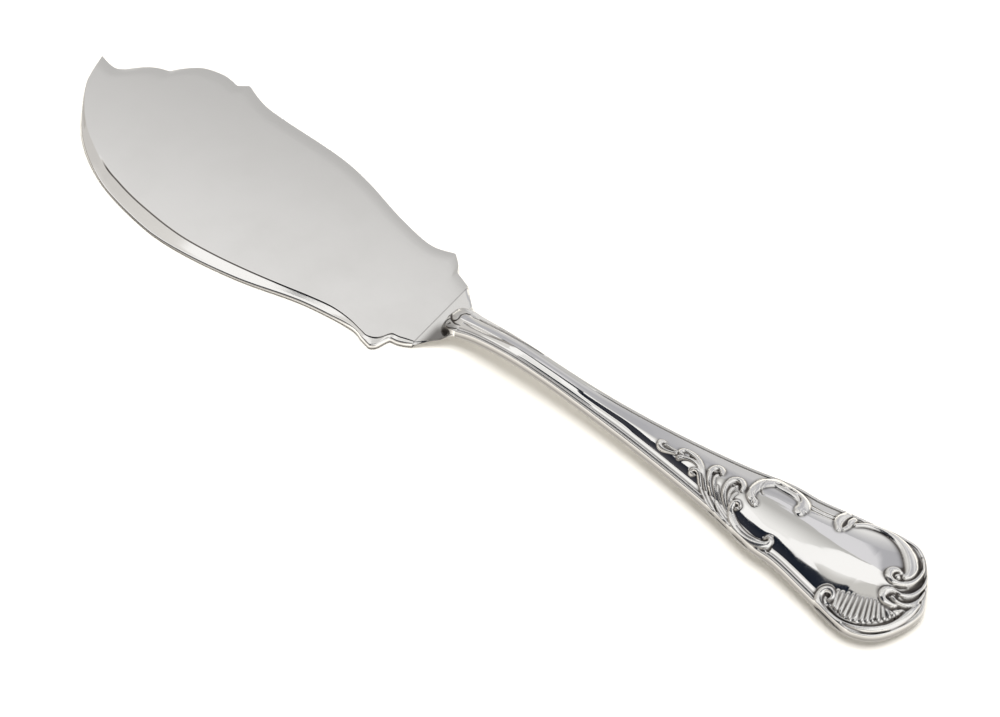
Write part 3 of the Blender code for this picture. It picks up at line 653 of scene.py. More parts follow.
def ornament(plan, height, plain, scale, spread):
    """Height of the struck surface over the seam, how deep a point lies in a hollow, and ornament.

    A hollow is the depth under the blurred surface as a share of the depth that is fully dark. The side walls
    get painted shade in the same values, darkest at the seam.
    """
    relief, foot, cut = np.zeros(height.shape), np.zeros(height.shape), np.zeros(height.shape)
    for points in SPRAY_STRANDS + SCROLL_STRANDS + END_STRANDS + RIB_STRANDS:
        add_strand(relief, foot, plan, points)
    for points in STEM_GROOVES + SPRAY_GROOVES + SCROLL_GROOVES + END_GROOVES:
        add_groove(cut, plan, points)
    struck = np.where(relief > 0.0, np.maximum(height, plain + scale * relief), height) - scale * cut
    struck[1:-1, WALL_COLUMNS:-WALL_COLUMNS] = blur_grid(struck, 1)[1:-1, WALL_COLUMNS:-WALL_COLUMNS]
    hollow = np.clip((blur_grid(struck, spread) - struck) / HOLLOW_DEPTH, 0.0, 1.0)
    hollow = np.maximum(hollow, FOOT_RESIDUE * foot)
    # painted shade: the side wall's columns are darkened, most at the seam
    wall = np.linspace(WALL_PAINTED_SHADE, 0.0, WALL_COLUMNS + 2)
    hollow[:, :len(wall)] = wall
    hollow[:, -len(wall):] = wall[::-1]
    worked = blur_grid(((relief > WORKED_FROM) | (cut > WORKED_FROM)).astype(float), 2)
    return struck, hollow, worked


struck, hollow, worked = ornament(plan, height, plain, FRONT_RELIEF, FRONT_SPREAD)
print("the relief stands up to %.2f mm over the thread-free section" % (struck - plain).max())

# %% [markdown]
# The front half is thin sheet, so its mesh has an outside with the relief and a plain inside, joined
# along the seam and at the open end. A Solidify modifier could give the wall its thickness too, but
# it would carry the relief through to the inside.

# %% Front of the handle
SHELL_WALL = 0.8
INNER_COLUMNS = 9
INNER_SHARE = 0.9             # height of the inside, as a share of the crown less the wall


def shell_mesh(name, plan, top, tones, side):
    """Closed half shell: struck outside, plain hollow inside, joined along the seam and the open end.

    The hollow is a parabola: the inner crown times one minus the squared share of the inner width.
    """
    rows, columns = top.shape
    x, y = plan[..., 0], plan[..., 1]
    outside = np.stack([x, y, seam_height(x) + side * top], axis=-1)
    middle = plan[:, columns // 2][:, None]
    share = np.linspace(-1.0, 1.0, INNER_COLUMNS)[None, :, None]
    spread = np.where(share < 0.0, plan[:, :1] - middle, plan[:, -1:] - middle)
    width = np.hypot(spread[..., 0], spread[..., 1])[..., None]
    inner = middle + np.abs(share) * spread * (1.0 - SHELL_WALL / width)
    crown = np.interp(middle[..., 0], CROWN_TRACK[:, 0], CROWN_TRACK[:, 1])
    rise = INNER_SHARE * (crown - SHELL_WALL) * (1.0 - share[..., 0] ** 2)
    inside = np.dstack([inner, seam_height(inner[..., 0]) + side * rise])
    outer_numbers = point_numbers(rows, columns)
    inner_numbers = point_numbers(rows, INNER_COLUMNS, rows * columns)
    faces = quads(outer_numbers) + quads(inner_numbers)
    for end in (0, -1):
        faces += quads(np.stack([outer_numbers[:, end], inner_numbers[:, end]]))
    faces.append(np.concatenate([outer_numbers[0], inner_numbers[0, ::-1]]).tolist())
    points = np.concatenate([outside.reshape(-1, 3), inside.reshape(-1, 3)])
    bare = np.zeros(inner_numbers.size)
    attributes = {label: np.concatenate([tone.ravel(), bare]) for label, tone in tones.items()}
    return make_piece(name, points, faces, attributes)


handle_front = shell_mesh("handle_front_struck", plan, struck, {"hollow": hollow, "worked": worked}, 1.0)

# %% [markdown]
# The back half has the same outline and border. It is struck more shallowly and laid flat where
# the handle rests on the table. Its grid is coarser than the front's.

# %% Back of the handle
BACK_RELIEF, BACK_SPREAD = 0.5, 6
BACK_STEM, BACK_RICH, BACK_FAN = 1.0, 0.45, 60    # row spacings and rows of the fan

back_plan, back_height, back_plain = handle_grid(handle_rows(BACK_STEM, BACK_RICH, BACK_FAN))
back_struck, back_hollow, back_worked = ornament(back_plan, back_height, back_plain, BACK_RELIEF, BACK_SPREAD)
back_struck = np.minimum(back_struck, seam_height(back_plan[..., 0]))
back_tones = {"hollow": back_hollow, "worked": back_worked}
handle_back = shell_mesh("handle_back_struck", back_plan, back_struck, back_tones, -1.0)

# %% [markdown]
# The blade is a flat plate. Its spine is drawn with points and hollows, its edge with a long belly,
# and inside the edge runs the crease of the bevel. Each line is a chain of smooth runs that meet in
# corners. The real corners are a little worn, so the finished line is softened.

# %% Outline of the blade
BLADE_LENGTH, BLADE_THICKNESS = 138.0, 2.0
SPINE_REACH, EDGE_REACH, TIP_OFFSET = 31.2, 26.7, 13.3
HEEL_HALF_WIDTH, NEAR_HEEL_HALF_WIDTH = 12.7, 12.1
NOTCH_HALF_WIDTH, LOBE_HALF_WIDTH, WAIST_HALF_WIDTH = 14.7, 19.6, 17.7
NOTCH_SETBACK, LOBE_SETBACK, WAIST_SETBACK = 5.4, 9.8, 17.5
HEEL_GAP = 0.01               # blade and neck stop this far from the crease of the heel
CORNER_SOFTNESS = 0.8
LINE_STEP = 0.1
RUN_STEPS = 14                # samples between two points of a run


def soften(line, reach):
    """The line in even steps, each point moved to the weighted mean of the points within reach."""
    way = np.concatenate([[0.0], np.cumsum(np.hypot(*np.diff(line, axis=0).T))])
    even = np.linspace(0.0, way[-1], int(way[-1] / LINE_STEP))
    count = int(reach / LINE_STEP)
    weights = np.hanning(2 * count + 3)[1:-1]
    soft = []
    for values in line.T:
        padded = np.pad(np.interp(even, way, values), count, mode="reflect", reflect_type="odd")
        soft.append(np.convolve(padded, weights / weights.sum(), "valid"))
    return np.column_stack(soft)


def from_shares(shares, reach):
    """Points from shares of the blade's length and of its reach to one side."""
    return [(-station * BLADE_LENGTH, share * reach) for station, share in shares]


def blade_lines():
    """Spine, edge and crease of the bevel from the heel to the tip, as polylines along x."""
    tip = [(-BLADE_LENGTH, TIP_OFFSET)]
    notch, lobe = (-NOTCH_SETBACK, NOTCH_HALF_WIDTH), (-LOBE_SETBACK, LOBE_HALF_WIDTH)
    heel = [(-HEEL_GAP, HEEL_HALF_WIDTH), (-3.2, 13.9), notch]
    flank = [notch, (-6.7, 16.9), lobe]
    waist = [lobe, (-WAIST_SETBACK, WAIST_HALF_WIDTH)]
    back = from_shares([(0.22, 0.645), (0.325, 0.78), (0.42, 0.855), (0.58, 0.881), (0.64, 0.912),
                        (0.695, 1.0)], SPINE_REACH)
    drop = from_shares([(0.695, 1.0), (0.705, 0.968), (0.716, 0.93)], SPINE_REACH)
    hump = from_shares([(0.716, 0.93), (0.757, 0.953), (0.806, 0.90), (0.838, 0.785), (0.857, 0.677)],
                       SPINE_REACH)
    point = from_shares([(0.857, 0.677), (0.887, 0.63), (0.912, 0.55), (0.941, 0.42), (0.963, 0.391)],
                        SPINE_REACH)
    spine_runs = [heel, flank, waist + back, drop, hump, point + tip]

    near_notch, near_lobe = (-5.9, -14.2), (-8.9, -LOBE_HALF_WIDTH)
    near_heel = [(-HEEL_GAP, -NEAR_HEEL_HALF_WIDTH), (-1.9, -13.2), (-3.8, -13.95), near_notch]
    near_flank = [near_notch, (-6.6, -16.1), (-7.4, -18.4), near_lobe]
    near_waist = [near_lobe, (-12.0, -18.9), (-WAIST_SETBACK, -WAIST_HALF_WIDTH)]
    belly = from_shares([(0.24, 0.725), (0.385, 0.905), (0.53, 1.0), (0.64, 0.973), (0.775, 0.805),
                         (0.886, 0.475), (0.966, -0.02), (0.987, -0.25)], -EDGE_REACH)
    edge_runs = [near_heel, near_flank, near_waist + belly + tip]

    crease_run = [(-HEEL_GAP, -10.9), (-2.3, -11.5), (-4.2, -12.1), (-6.2, -12.4), (-7.0, -13.2),
                  (-7.9, -15.0), (-9.2, -16.4), (-11.5, -17.2), (-14.0, -16.8), (-19.0, -15.8),
                  (-25.0, -15.5), (-32.0, -16.5), (-42.0, -18.5), (-52.0, -20.3), (-62.0, -21.7),
                  (-72.0, -22.5), (-79.5, -22.35), (-87.0, -21.6), (-94.0, -20.6), (-100.8, -19.1),
                  (-109.2, -16.5), (-122.0, -9.5), (-130.0, -2.6), (-135.0, 4.5)]
    lines = []
    for runs in (spine_runs, edge_runs, [crease_run + tip]):
        sharp = np.vstack([smooth_run(run, RUN_STEPS)[:-1] for run in runs] + [tip])
        lines.append(soften(sharp, CORNER_SOFTNESS))
    return lines


spine_line, edge_line, crease_line = blade_lines()
print("blade outline:", len(spine_line) + len(edge_line), "points")

# %% [markdown]
# The section of the blade is drawn across it, from the bottom up over the edge's rounded rim, along
# the bevel, over the small step and the flat top to the spine. It is carried along the blade from
# station to station, so the crease, the rim and the spine are each a column of the grid. A bevel
# modifier on a flat face would be quicker, but it could not let the bevel down by a step.

# %% Section carried along the blade
STATION_STEP, TIP_STEP, HEEL_STEP = 0.2, 0.05, 0.03
TIP_STRETCH = 3.0             # rings stand closer together over this length before the tip
STRETCH_LIMIT = 3.0           # widths across a slanted line grow by this much at most
SPINE_ROUND, EDGE_ROUND = 0.08, 0.9
SPINE_SHARE, EDGE_SHARE = 0.2, 0.45     # most that these roundings take of the top and of the bevel
FOOT_HEIGHT = 0.3             # the edge's widest place over the table
CREASE_LIMIT = 0.45           # the crease stays within this share of the blade's width
BEVEL_SLOPE, HEEL_SLOPE = 0.194, 0.06
SLOPE_RUN = (-26.0, -14.0)    # stations from the bevel's own slope to the slope at the heel
STEP_HEIGHT, STEP_WIDTH = 0.2, 0.5
STEP_SHARE = 0.16             # most that the step takes of the bevel
STEP_RUN = (-113.0, -106.0)   # stations over which the step grows
SPINE_EASE, SPINE_DROP = 4.0, 0.06      # polished down over this width beside the spine
TOP_SHARES = np.concatenate([[0.003], np.linspace(0.01, 0.9, 16), np.linspace(0.915, 0.99, 6), [0.997, 1.0]])
RIM_TURNS = np.linspace(0.0, 0.5 * np.pi, 8)
STEP_PAINTED_SHADE = 0.97           # painted shade that draws the step as a dark line
STEP_PAINTED_SHADE_RUN = (-111.0, -107.0)
EDGE_PAINTED_SHADE = 0.95           # and painted shade low on the edge, for the shadowed table it mirrors
EDGE_DARK, TIP_DARK = 0.65, 1.0         # radians up the rim that it reaches
TIP_DARK_RUN = (-60.0, -90.0)


def at_stations(line, stations):
    """Height in plan and slope stretch of a line at the stations: root of one plus slope squared."""
    y = np.interp(-stations, -line[:, 0], line[:, 1])
    slope = np.gradient(y, stations)
    return y, np.minimum(np.sqrt(1.0 + slope ** 2), STRETCH_LIMIT)


def blade_stations():
    """Places of the rings along the blade, closer together at the heel and at the tip."""
    start = BLADE_LENGTH - TIP_STRETCH
    heel = [HEEL_GAP, HEEL_GAP + HEEL_STEP]
    even = np.arange(STATION_STEP, start, STATION_STEP)
    fine = start + np.arange(0.0, TIP_STRETCH, TIP_STEP)
    return -np.concatenate([heel, even, fine, [BLADE_LENGTH]])


def blade_section(stations):
    """Places across the blade, heights and painted shade of the section at every station.

    Over the edge the section is a quarter of an ellipse, then it follows the bevel, the step and
    the flat top, which falls by a square law beside the spine.
    """
    spine, spine_stretch = at_stations(spine_line, stations)
    edge, edge_stretch = at_stations(edge_line, stations)
    crease, crease_stretch = at_stations(crease_line, stations)
    crease = np.clip(crease, edge, edge + CREASE_LIMIT * (spine - edge))
    bevel, room = crease - edge, spine - crease
    zero = np.zeros(stations.shape)
    step = STEP_HEIGHT * smooth_step(*STEP_RUN, stations)
    high = BLADE_THICKNESS - step
    slope = BEVEL_SLOPE + (HEEL_SLOPE - BEVEL_SLOPE) * smooth_step(*SLOPE_RUN, stations)
    low = high - slope * bevel / crease_stretch
    over = np.minimum(EDGE_ROUND * edge_stretch, EDGE_SHARE * bevel)
    facet = np.minimum(STEP_WIDTH * crease_stretch, STEP_SHARE * bevel)
    spine_round = np.minimum(SPINE_ROUND * spine_stretch, SPINE_SHARE * room)

    # painted shade low on the rim, reaching higher towards the tip
    dark = EDGE_DARK + (TIP_DARK - EDGE_DARK) * smooth_step(*TIP_DARK_RUN, stations)
    ring = [(edge + 1.2 * over, zero), (edge + 0.3 * over, zero + 0.4 * FOOT_HEIGHT)]
    tones = [zero + EDGE_PAINTED_SHADE, zero + EDGE_PAINTED_SHADE]
    for turn in RIM_TURNS:
        rise = (low - FOOT_HEIGHT) * np.sin(turn)
        ring.append((edge + over * (1.0 - np.cos(turn)), FOOT_HEIGHT + rise))
        tones.append(EDGE_PAINTED_SHADE * (1.0 - smooth_step(0.2 * dark, dark, turn)))
    first, last = edge + over, crease - facet
    for share in (0.25, 0.5, 0.75, 0.97):
        ring.append((first + share * (last - first), low + share * (high - low)))
        tones.append(zero)
    # painted shade in the step
    for share, step_shade in ((0.02, 0.0), (0.15, STEP_PAINTED_SHADE), (0.85, STEP_PAINTED_SHADE), (0.98, 0.0)):
        ring.append((last + share * facet, high + share * step))
        tones.append(step_shade * smooth_step(*STEP_PAINTED_SHADE_RUN, stations))
    for share in TOP_SHARES:
        left = (1.0 - share) * (room - spine_round)
        fall = SPINE_DROP * np.clip(1.0 - left / SPINE_EASE, 0.0, 1.0) ** 2
        ring.append((spine - spine_round - left, BLADE_THICKNESS - fall))
    brow = zero + BLADE_THICKNESS - SPINE_DROP
    ring += [
        (spine - 0.3 * spine_round, brow - 0.03),
        (spine, brow - 0.1),
        (spine, brow - 0.15),
        (spine, zero + FOOT_HEIGHT),
        (spine - 3.0 * spine_round, zero),
    ]
    tones += (len(ring) - len(tones)) * [zero]
    return ring, tones


def build_blade():
    """Closed body: one ring of section points for every station, capped at the heel."""
    stations = blade_stations()
    ring, tones = blade_section(stations)
    points = np.stack([np.column_stack([stations, y, z]) for y, z in ring], axis=1)
    numbers = point_numbers(*points.shape[:2])
    faces = ring_quads(numbers) + [numbers[0].tolist()]
    hollow = np.stack(tones, axis=1).ravel()
    return make_piece("blade_plate", points.reshape(-1, 3), faces, {"hollow": hollow, "worked": 0.0 * hollow})


blade = build_blade()

# %% [markdown]
# The neck is a fan: nearly flat and wide at the heel, high and slim where it meets the handle. The
# rounded end of the handle seems to lie on it, so the top of the neck is the higher of two surfaces,
# the fan and the handle's own section, narrowed and lowered towards the blade. Grooves draw the
# volutes. A plug at its end goes into the handle.

# %% Top of the neck
FAN_SLOPE = 0.2
FAN_LIP = 0.3                 # the fan ends this far over the handle's seam
FAN_LIFT = (0.6, 1.0)         # shares of the neck's length over which it climbs there
FAN_RIM = 0.2                 # its sides stay this far under its middle
RIM_POWER = 40
STEM_END = 3.0                # the handle's end stands on the fan from here on
STEM_FALL = 0.05              # and falls by this share for every millimetre towards the blade
STEM_LOW = 0.3                # share of its height that is left at its very end
NOWHERE = -9.0                # height that stands for no surface


def fan_height(x, share, across):
    """Top of the fan: a gentle slope from the heel, lifted to the handle at the end.

    Towards its sides it is rounded off: one minus the share of the half width to a high power.
    """
    seam = seam_height(NECK_LENGTH)
    ground = BLADE_THICKNESS + FAN_SLOPE * x
    middle = ground + (seam + FAN_LIP - ground) * smooth_step(*FAN_LIFT, share)
    side = 0.5 * BLADE_THICKNESS + (seam - 0.5 * BLADE_THICKNESS) * smooth_step(0.0, 1.0, share)
    side = np.minimum(side, middle - FAN_RIM)
    return side + (middle - side) * (1.0 - np.abs(across) ** RIM_POWER)


def stem_height(x, y):
    """End of the handle on the fan: the handle's own section, narrowed and lowered to a rounded end."""
    way = np.clip((NECK_LENGTH - x) / (NECK_LENGTH - STEM_END), 0.0, 1.0)
    round_end = np.sqrt(1.0 - way ** 4)
    narrow = np.maximum(round_end ** 0.7, 0.05)
    section = np.interp(y / narrow, plan[0, :, 1], struck[0], left=NOWHERE, right=NOWHERE)
    ground = BLADE_THICKNESS + FAN_SLOPE * x
    keep = (STEM_LOW + (1.0 - STEM_LOW) * round_end) * (1.0 - STEM_FALL * (NECK_LENGTH - x))
    top = ground + (seam_height(NECK_LENGTH) + section - ground) * keep
    return np.where((section > NOWHERE + 1.0) & (way < 1.0), top, NOWHERE)


print("seam at the neck: %.2f mm over the table" % seam_height(NECK_LENGTH))

# %% Neck
NECK_STEP, NECK_ENDS = 0.1, 0.02        # spacing of the rings, and of the last two at both ends
NECK_COLUMNS, UNDER_COLUMNS = 161, 41
FAN_SWEEP = 1.12
PLUG_LENGTH = 7.0
PLUG_WIDTH, PLUG_HEIGHT = 0.72, 0.6     # shares of the neck's last ring
WING_PAINTED_SHADE = 0.8            # painted shade on the near wing of the fan
STEM_END_DARKENING = 0.25           # darkening on the end of the handle
HEEL_PAINTED_SHADE = 0.4            # and painted shade in the crease of the heel
NECK_HOLLOW = 0.22            # a groove this deep is fully dark
NECK_RELIEF = 0.6             # share of the grooves' depth that is struck
NECK_GROOVES = [
    [(3.0, 0.6, 0.25, 0.3), (3.9, 0.4, 0.34, 0.5), (4.8, -0.6, 0.34, 0.5), (5.6, -1.4, 0.36, 0.5),
     (6.6, -1.3, 0.3, 0.5), (7.1, -0.2, 0.26, 0.45), (6.9, 1.0, 0.26, 0.45), (7.4, 2.0, 0.3, 0.5),
     (8.2, 2.45, 0.3, 0.4), (9.0, 2.65, 0.25, 0.15)],
    [(5.6, -1.4, 0.34, 0.5), (7.2, -2.1, 0.25, 0.3), (9.0, -1.9, 0.2, 0.1)],
    [(3.9, 0.0, 0.2, 0.3), (3.3, -0.9, 0.28, 0.5), (3.4, -2.3, 0.28, 0.5), (4.3, -3.7, 0.2, 0.3)],
    [(4.9, -1.2, 0.2, 0.3), (4.3, -1.9, 0.26, 0.5), (4.4, -2.9, 0.24, 0.4), (5.0, -3.7, 0.2, 0.2)],
    [(5.8, -2.6, 0.34, 0.4), (5.6, -3.0, 0.34, 0.4)],
    [(3.8, 2.6, 0.15, 0.1), (4.5, 3.5, 0.2, 0.25), (5.8, 4.4, 0.2, 0.25), (7.4, 4.5, 0.15, 0.1)],
    [(4.0, -4.2, 0.2, 0.2), (5.1, -4.6, 0.35, 0.5), (6.1, -4.9, 0.5, 0.6)],
    [(5.6, -4.0, 0.2, 0.3), (6.6, -4.1, 0.22, 0.35), (8.0, -3.6, 0.2, 0.3), (9.0, -3.1, 0.15, 0.1)],
]


def neck_painted_shade(x, y, stem):
    """Painted shade on wing and heel crease and darkening on the handle's end, whichever is most."""
    wing = smooth_step(0.0, -5.0, y) * smooth_step(0.3, 3.6, x) * smooth_step(9.0, 7.0, x)
    on_stem = smooth_step(8.5, 6.0, x) * (stem > 0.0)
    heel = 1.0 - smooth_step(0.1, 0.6, x)
    return np.maximum(np.maximum(WING_PAINTED_SHADE * wing, STEM_END_DARKENING * on_stem), HEEL_PAINTED_SHADE * heel)


def neck_rings():
    """Rings of the neck, top and underside, with painted shade on them and dark polish in the grooves.

    The half width narrows from heel to handle with one minus the share of the way, to the power of
    the sweep. The underside bulges with one minus the share of the half width to the power 8.
    """
    x = np.concatenate([[HEEL_GAP, HEEL_GAP + NECK_ENDS], np.arange(0.2, NECK_LENGTH - 0.05, NECK_STEP),
                        [NECK_LENGTH - NECK_ENDS, NECK_LENGTH]])[:, None]
    share = x / NECK_LENGTH
    bend = np.linspace(-1.0, 1.0, NECK_COLUMNS)[None]
    across = np.sign(bend) * np.abs(bend) ** 1.5
    heel = np.where(across < 0.0, NEAR_HEEL_HALF_WIDTH, HEEL_HALF_WIDTH)
    width = NECK_HALF_WIDTH + (heel - NECK_HALF_WIDTH) * (1.0 - share) ** FAN_SWEEP
    y = across * width
    stem = stem_height(x, y)
    cut = np.zeros(y.shape)
    for points in NECK_GROOVES:
        add_groove(cut, np.stack([np.broadcast_to(x, y.shape), y], axis=-1), points)
    top = blur_grid(np.maximum(fan_height(x, share, across), stem), 5) - NECK_RELIEF * cut
    top[-1] = seam_height(NECK_LENGTH) + np.interp(y[-1], plan[0, :, 1], struck[0])
    # painted shade on wing and heel, darkening on the handle's end, dark polish in the grooves
    hollow = np.clip(np.maximum(neck_painted_shade(x, y, stem), cut / NECK_HOLLOW), 0.0, 1.0)

    under = np.linspace(1.0, -1.0, UNDER_COLUMNS + 2)[None, 1:-1]
    under_width = np.where(under < 0.0, width[:, :1], width[:, -1:])
    low = (seam_height(NECK_LENGTH) - struck[0].max()) * smooth_step(0.0, 1.0, share)
    rim = np.where(under < 0.0, top[:, :1], top[:, -1:])
    bottom = rim - (rim - low) * (1.0 - np.abs(under) ** 8)
    rings = np.stack([np.broadcast_to(x, (len(x), NECK_COLUMNS + UNDER_COLUMNS)),
                      np.hstack([y, under * under_width]), np.hstack([top, bottom])], axis=-1)
    return rings, np.hstack([hollow, np.zeros(bottom.shape)])


def plug_rings(last):
    """Two smaller rings that carry the neck's last ring into the handle."""
    plug = []
    for at in (NECK_LENGTH, NECK_LENGTH + PLUG_LENGTH):
        height = seam_height(at) + PLUG_HEIGHT * (last[:, 2] - seam_height(NECK_LENGTH))
        plug.append(np.column_stack([np.full(len(last), at), PLUG_WIDTH * last[:, 1], height]))
    return np.stack(plug)


def build_neck():
    """Closed body through the rings, capped at both ends."""
    rings, tone = neck_rings()
    rings = np.concatenate([rings, plug_rings(rings[-1])])
    numbers = point_numbers(*rings.shape[:2])
    faces = ring_quads(numbers) + [numbers[0].tolist(), numbers[-1].tolist()]
    hollow = np.zeros(numbers.shape)
    hollow[:len(tone)] = tone
    tones = {"hollow": hollow.ravel(), "worked": np.zeros(numbers.size)}
    return make_piece("neck_fan", rings.reshape(-1, 3), faces, tones)


neck = build_neck()

# %% [markdown]
# Silver is a mirror, so most of its look comes from what it reflects. Its own colour is a slightly
# warm white. Years of polishing leave fine scratches and a faint haze, which noise textures on
# Object coordinates give to roughness, colour and bump. Dark polish stays behind in the hollows of
# the relief, which the meshes carry as an attribute. The same attribute also carries painted shade:
# on the handle's side walls, the neck's near wing and heel crease, the blade's step and low on its edge.

# %% Helpers for materials
def add_node(tree, kind, **values):
    """New node with socket values by name; a name that starts with a small letter is a property."""
    node = tree.nodes.new(kind)
    for key, value in values.items():
        if key[0].islower():
            setattr(node, key, value)
        else:
            node.inputs[key.replace("_", " ")].default_value = value
    return node


def colour_mix(tree, first, second):
    """Mix node from a first to a second colour."""
    mix = add_node(tree, "ShaderNodeMix", data_type="RGBA")
    mix.inputs["A"].default_value = (*first, 1.0)
    mix.inputs["B"].default_value = (*second, 1.0)
    return mix


def wire(tree, *links):
    """Join sockets; a link names a node, its output, another node and its input."""
    for source, output, target, entry in links:
        tree.links.new(source.outputs[output], target.inputs[entry])


def new_material(name):
    """Material with nodes: the material, its node tree and its shader."""
    material = bpy.data.materials.new(name)
    material.use_nodes = True
    tree = material.node_tree
    print("new material:", name)
    return material, tree, tree.nodes["Principled BSDF"]


# %% Silver
SILVER = (0.93, 0.92, 0.905)
HAZE = (0.9, 0.89, 0.872)
# dark colour for polish in the hollows and for painted shade
POLISH_AND_PAINTED_SHADE = (0.10, 0.09, 0.083)
SCRATCH_SCALE = (60.0, 2600.0, 400.0)   # scratches are long in x and fine across it
BUMP_DISTANCE = 0.0002


def silver(name, roughness, scratch_turn, scratch_depth, struck_roughness):
    """Polished silver: colour, roughness and bump vary with noise.

    The ornament is rougher by the struck roughness. The hollow attribute mixes in a dark colour: polish in
    the hollows of the relief, painted shade on walls, neck and blade.
    """
    material, tree, shader = new_material(name)
    shader.inputs["Metallic"].default_value = 1.0
    place = add_node(tree, "ShaderNodeTexCoord")
    cloud = add_node(tree, "ShaderNodeTexNoise", Scale=55.0, Detail=5.0, Roughness=0.6)
    amount = add_node(tree, "ShaderNodeMapRange", From_Min=0.45, From_Max=0.8)
    tone = colour_mix(tree, SILVER, HAZE)
    # the hollow attribute: dark polish in the relief's hollows, painted shade on walls, neck and blade
    depth = add_node(tree, "ShaderNodeAttribute", attribute_name="hollow")
    polish_and_shade = colour_mix(tree, SILVER, POLISH_AND_PAINTED_SHADE)
    low, high = roughness
    gloss = add_node(tree, "ShaderNodeMapRange", From_Min=0.3, From_Max=0.75, To_Min=low, To_Max=high)
    relief = add_node(tree, "ShaderNodeAttribute", attribute_name="worked")
    rougher = add_node(tree, "ShaderNodeMath", operation="MULTIPLY_ADD")
    rougher.inputs[1].default_value = struck_roughness
    turn = add_node(tree, "ShaderNodeMapping", Rotation=(0.0, 0.0, scratch_turn), Scale=SCRATCH_SCALE)
    scratch = add_node(tree, "ShaderNodeTexNoise", Scale=1.0, Detail=3.0, Roughness=0.7)
    bump = add_node(tree, "ShaderNodeBump", Strength=scratch_depth, Distance=BUMP_DISTANCE)
    wire(tree,
         (place, "Object", cloud, "Vector"), (cloud, "Fac", amount, "Value"),
         (amount, "Result", tone, "Factor"), (tone, "Result", polish_and_shade, "A"),
         (depth, "Fac", polish_and_shade, "Factor"), (polish_and_shade, "Result", shader, "Base Color"),
         (cloud, "Fac", gloss, "Value"), (relief, "Fac", rougher, 0),
         (gloss, "Result", rougher, 2), (rougher, "Value", shader, "Roughness"),
         (place, "Object", turn, "Vector"), (turn, "Vector", scratch, "Vector"),
         (scratch, "Fac", bump, "Height"), (bump, "Normal", shader, "Normal"))
    return material


handle_silver = silver("struck_silver", (0.03, 0.06), 0.0, 0.002, 0.15)
blade_silver = silver("rolled_silver", (0.08, 0.12), 0.35, 0.01, 0.02)
neck_silver = silver("neck_silver_finish", (0.1, 0.15), 0.2, 0.01, 0.05)

# %% [markdown]
# Inside the handle a steel tang stands in dark pitch. Nobody sees them in the whole knife, but a
# reader who takes the handle off does, so both get a colour and a bump from one noise texture.

# %% Steel of the tang and pitch of the filling
def plain_stuff(name, light, dark, roughness, metallic, scale):
    """Inner stuff: two colours mixed by noise, with a bump from the same noise."""
    material, tree, shader = new_material(name)
    shader.inputs["Metallic"].default_value = metallic
    shader.inputs["Roughness"].default_value = roughness
    place = add_node(tree, "ShaderNodeTexCoord")
    grain = add_node(tree, "ShaderNodeTexNoise", Scale=scale, Detail=6.0)
    mix = colour_mix(tree, dark, light)
    bump = add_node(tree, "ShaderNodeBump", Strength=0.2, Distance=BUMP_DISTANCE)
    wire(tree,
         (place, "Object", grain, "Vector"), (grain, "Fac", mix, "Factor"),
         (mix, "Result", shader, "Base Color"), (grain, "Fac", bump, "Height"),
         (bump, "Normal", shader, "Normal"))
    return material


tang_steel = plain_stuff("forged_tang_steel", (0.5, 0.5, 0.5), (0.3, 0.29, 0.28), 0.45, 1.0, 600.0)
pitch = plain_stuff("dark_pitch", (0.2, 0.13, 0.08), (0.08, 0.05, 0.03), 0.7, 0.0, 300.0)

# %% [markdown]
# Each new piece rides on the knife's one body, hides the plain solid that it stands for and names
# the slot of its finish. Tang and filling keep their solids and only get the new materials.

# %% Put the pieces on the frame
pieces = [
    (handle_front, "handle_front", "front_silver", handle_silver),
    (handle_back, "handle_back", "back_silver", handle_silver),
    (blade, "blade", "blade_silver", blade_silver),
    (neck, "bolster", "neck_silver", neck_silver),
]
for piece, node, slot, finish in pieces:
    piece.data.materials.append(finish)
    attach(piece, "root")
    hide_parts(node)
for node, finish in (("tang", tang_steel), ("cement_filling", pitch)):
    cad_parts[node].material_slots[0].material = finish
print("pieces dressed:", [piece.name for piece, *_ in pieces])

# %% [markdown]
# The table is a white sheet, and the room round it is white. A small share of the table is plain
# white for the camera and for mirrors, which lifts the shadow a little without more light on the
# knife.

# %% Table
FLOOR_SIZE = 6.0
FLOOR_WHITE = (0.97, 0.945, 0.905)
FLOOR_LIFT = 0.05             # share of plain white that camera and mirrors see in the table


def flat_sheet(name, corners, material):
    """One face between corner points, in metres."""
    mesh = bpy.data.meshes.new(name)
    mesh.from_pydata(corners, [], [tuple(range(len(corners)))])
    mesh.materials.append(material)
    sheet = bpy.data.objects.new(name, mesh)
    bpy.context.scene.collection.objects.link(sheet)
    return sheet


def seen_or_mirrored(tree):
    """Node whose value is 1 for camera, glossy and transmission rays and 0 for other rays."""
    path = add_node(tree, "ShaderNodeLightPath")
    seen = add_node(tree, "ShaderNodeMath", operation="ADD")
    mirrored = add_node(tree, "ShaderNodeMath", operation="ADD", use_clamp=True)
    wire(tree,
         (path, "Is Camera Ray", seen, 0), (path, "Is Glossy Ray", seen, 1),
         (seen, "Value", mirrored, 0), (path, "Is Transmission Ray", mirrored, 1))
    return mirrored


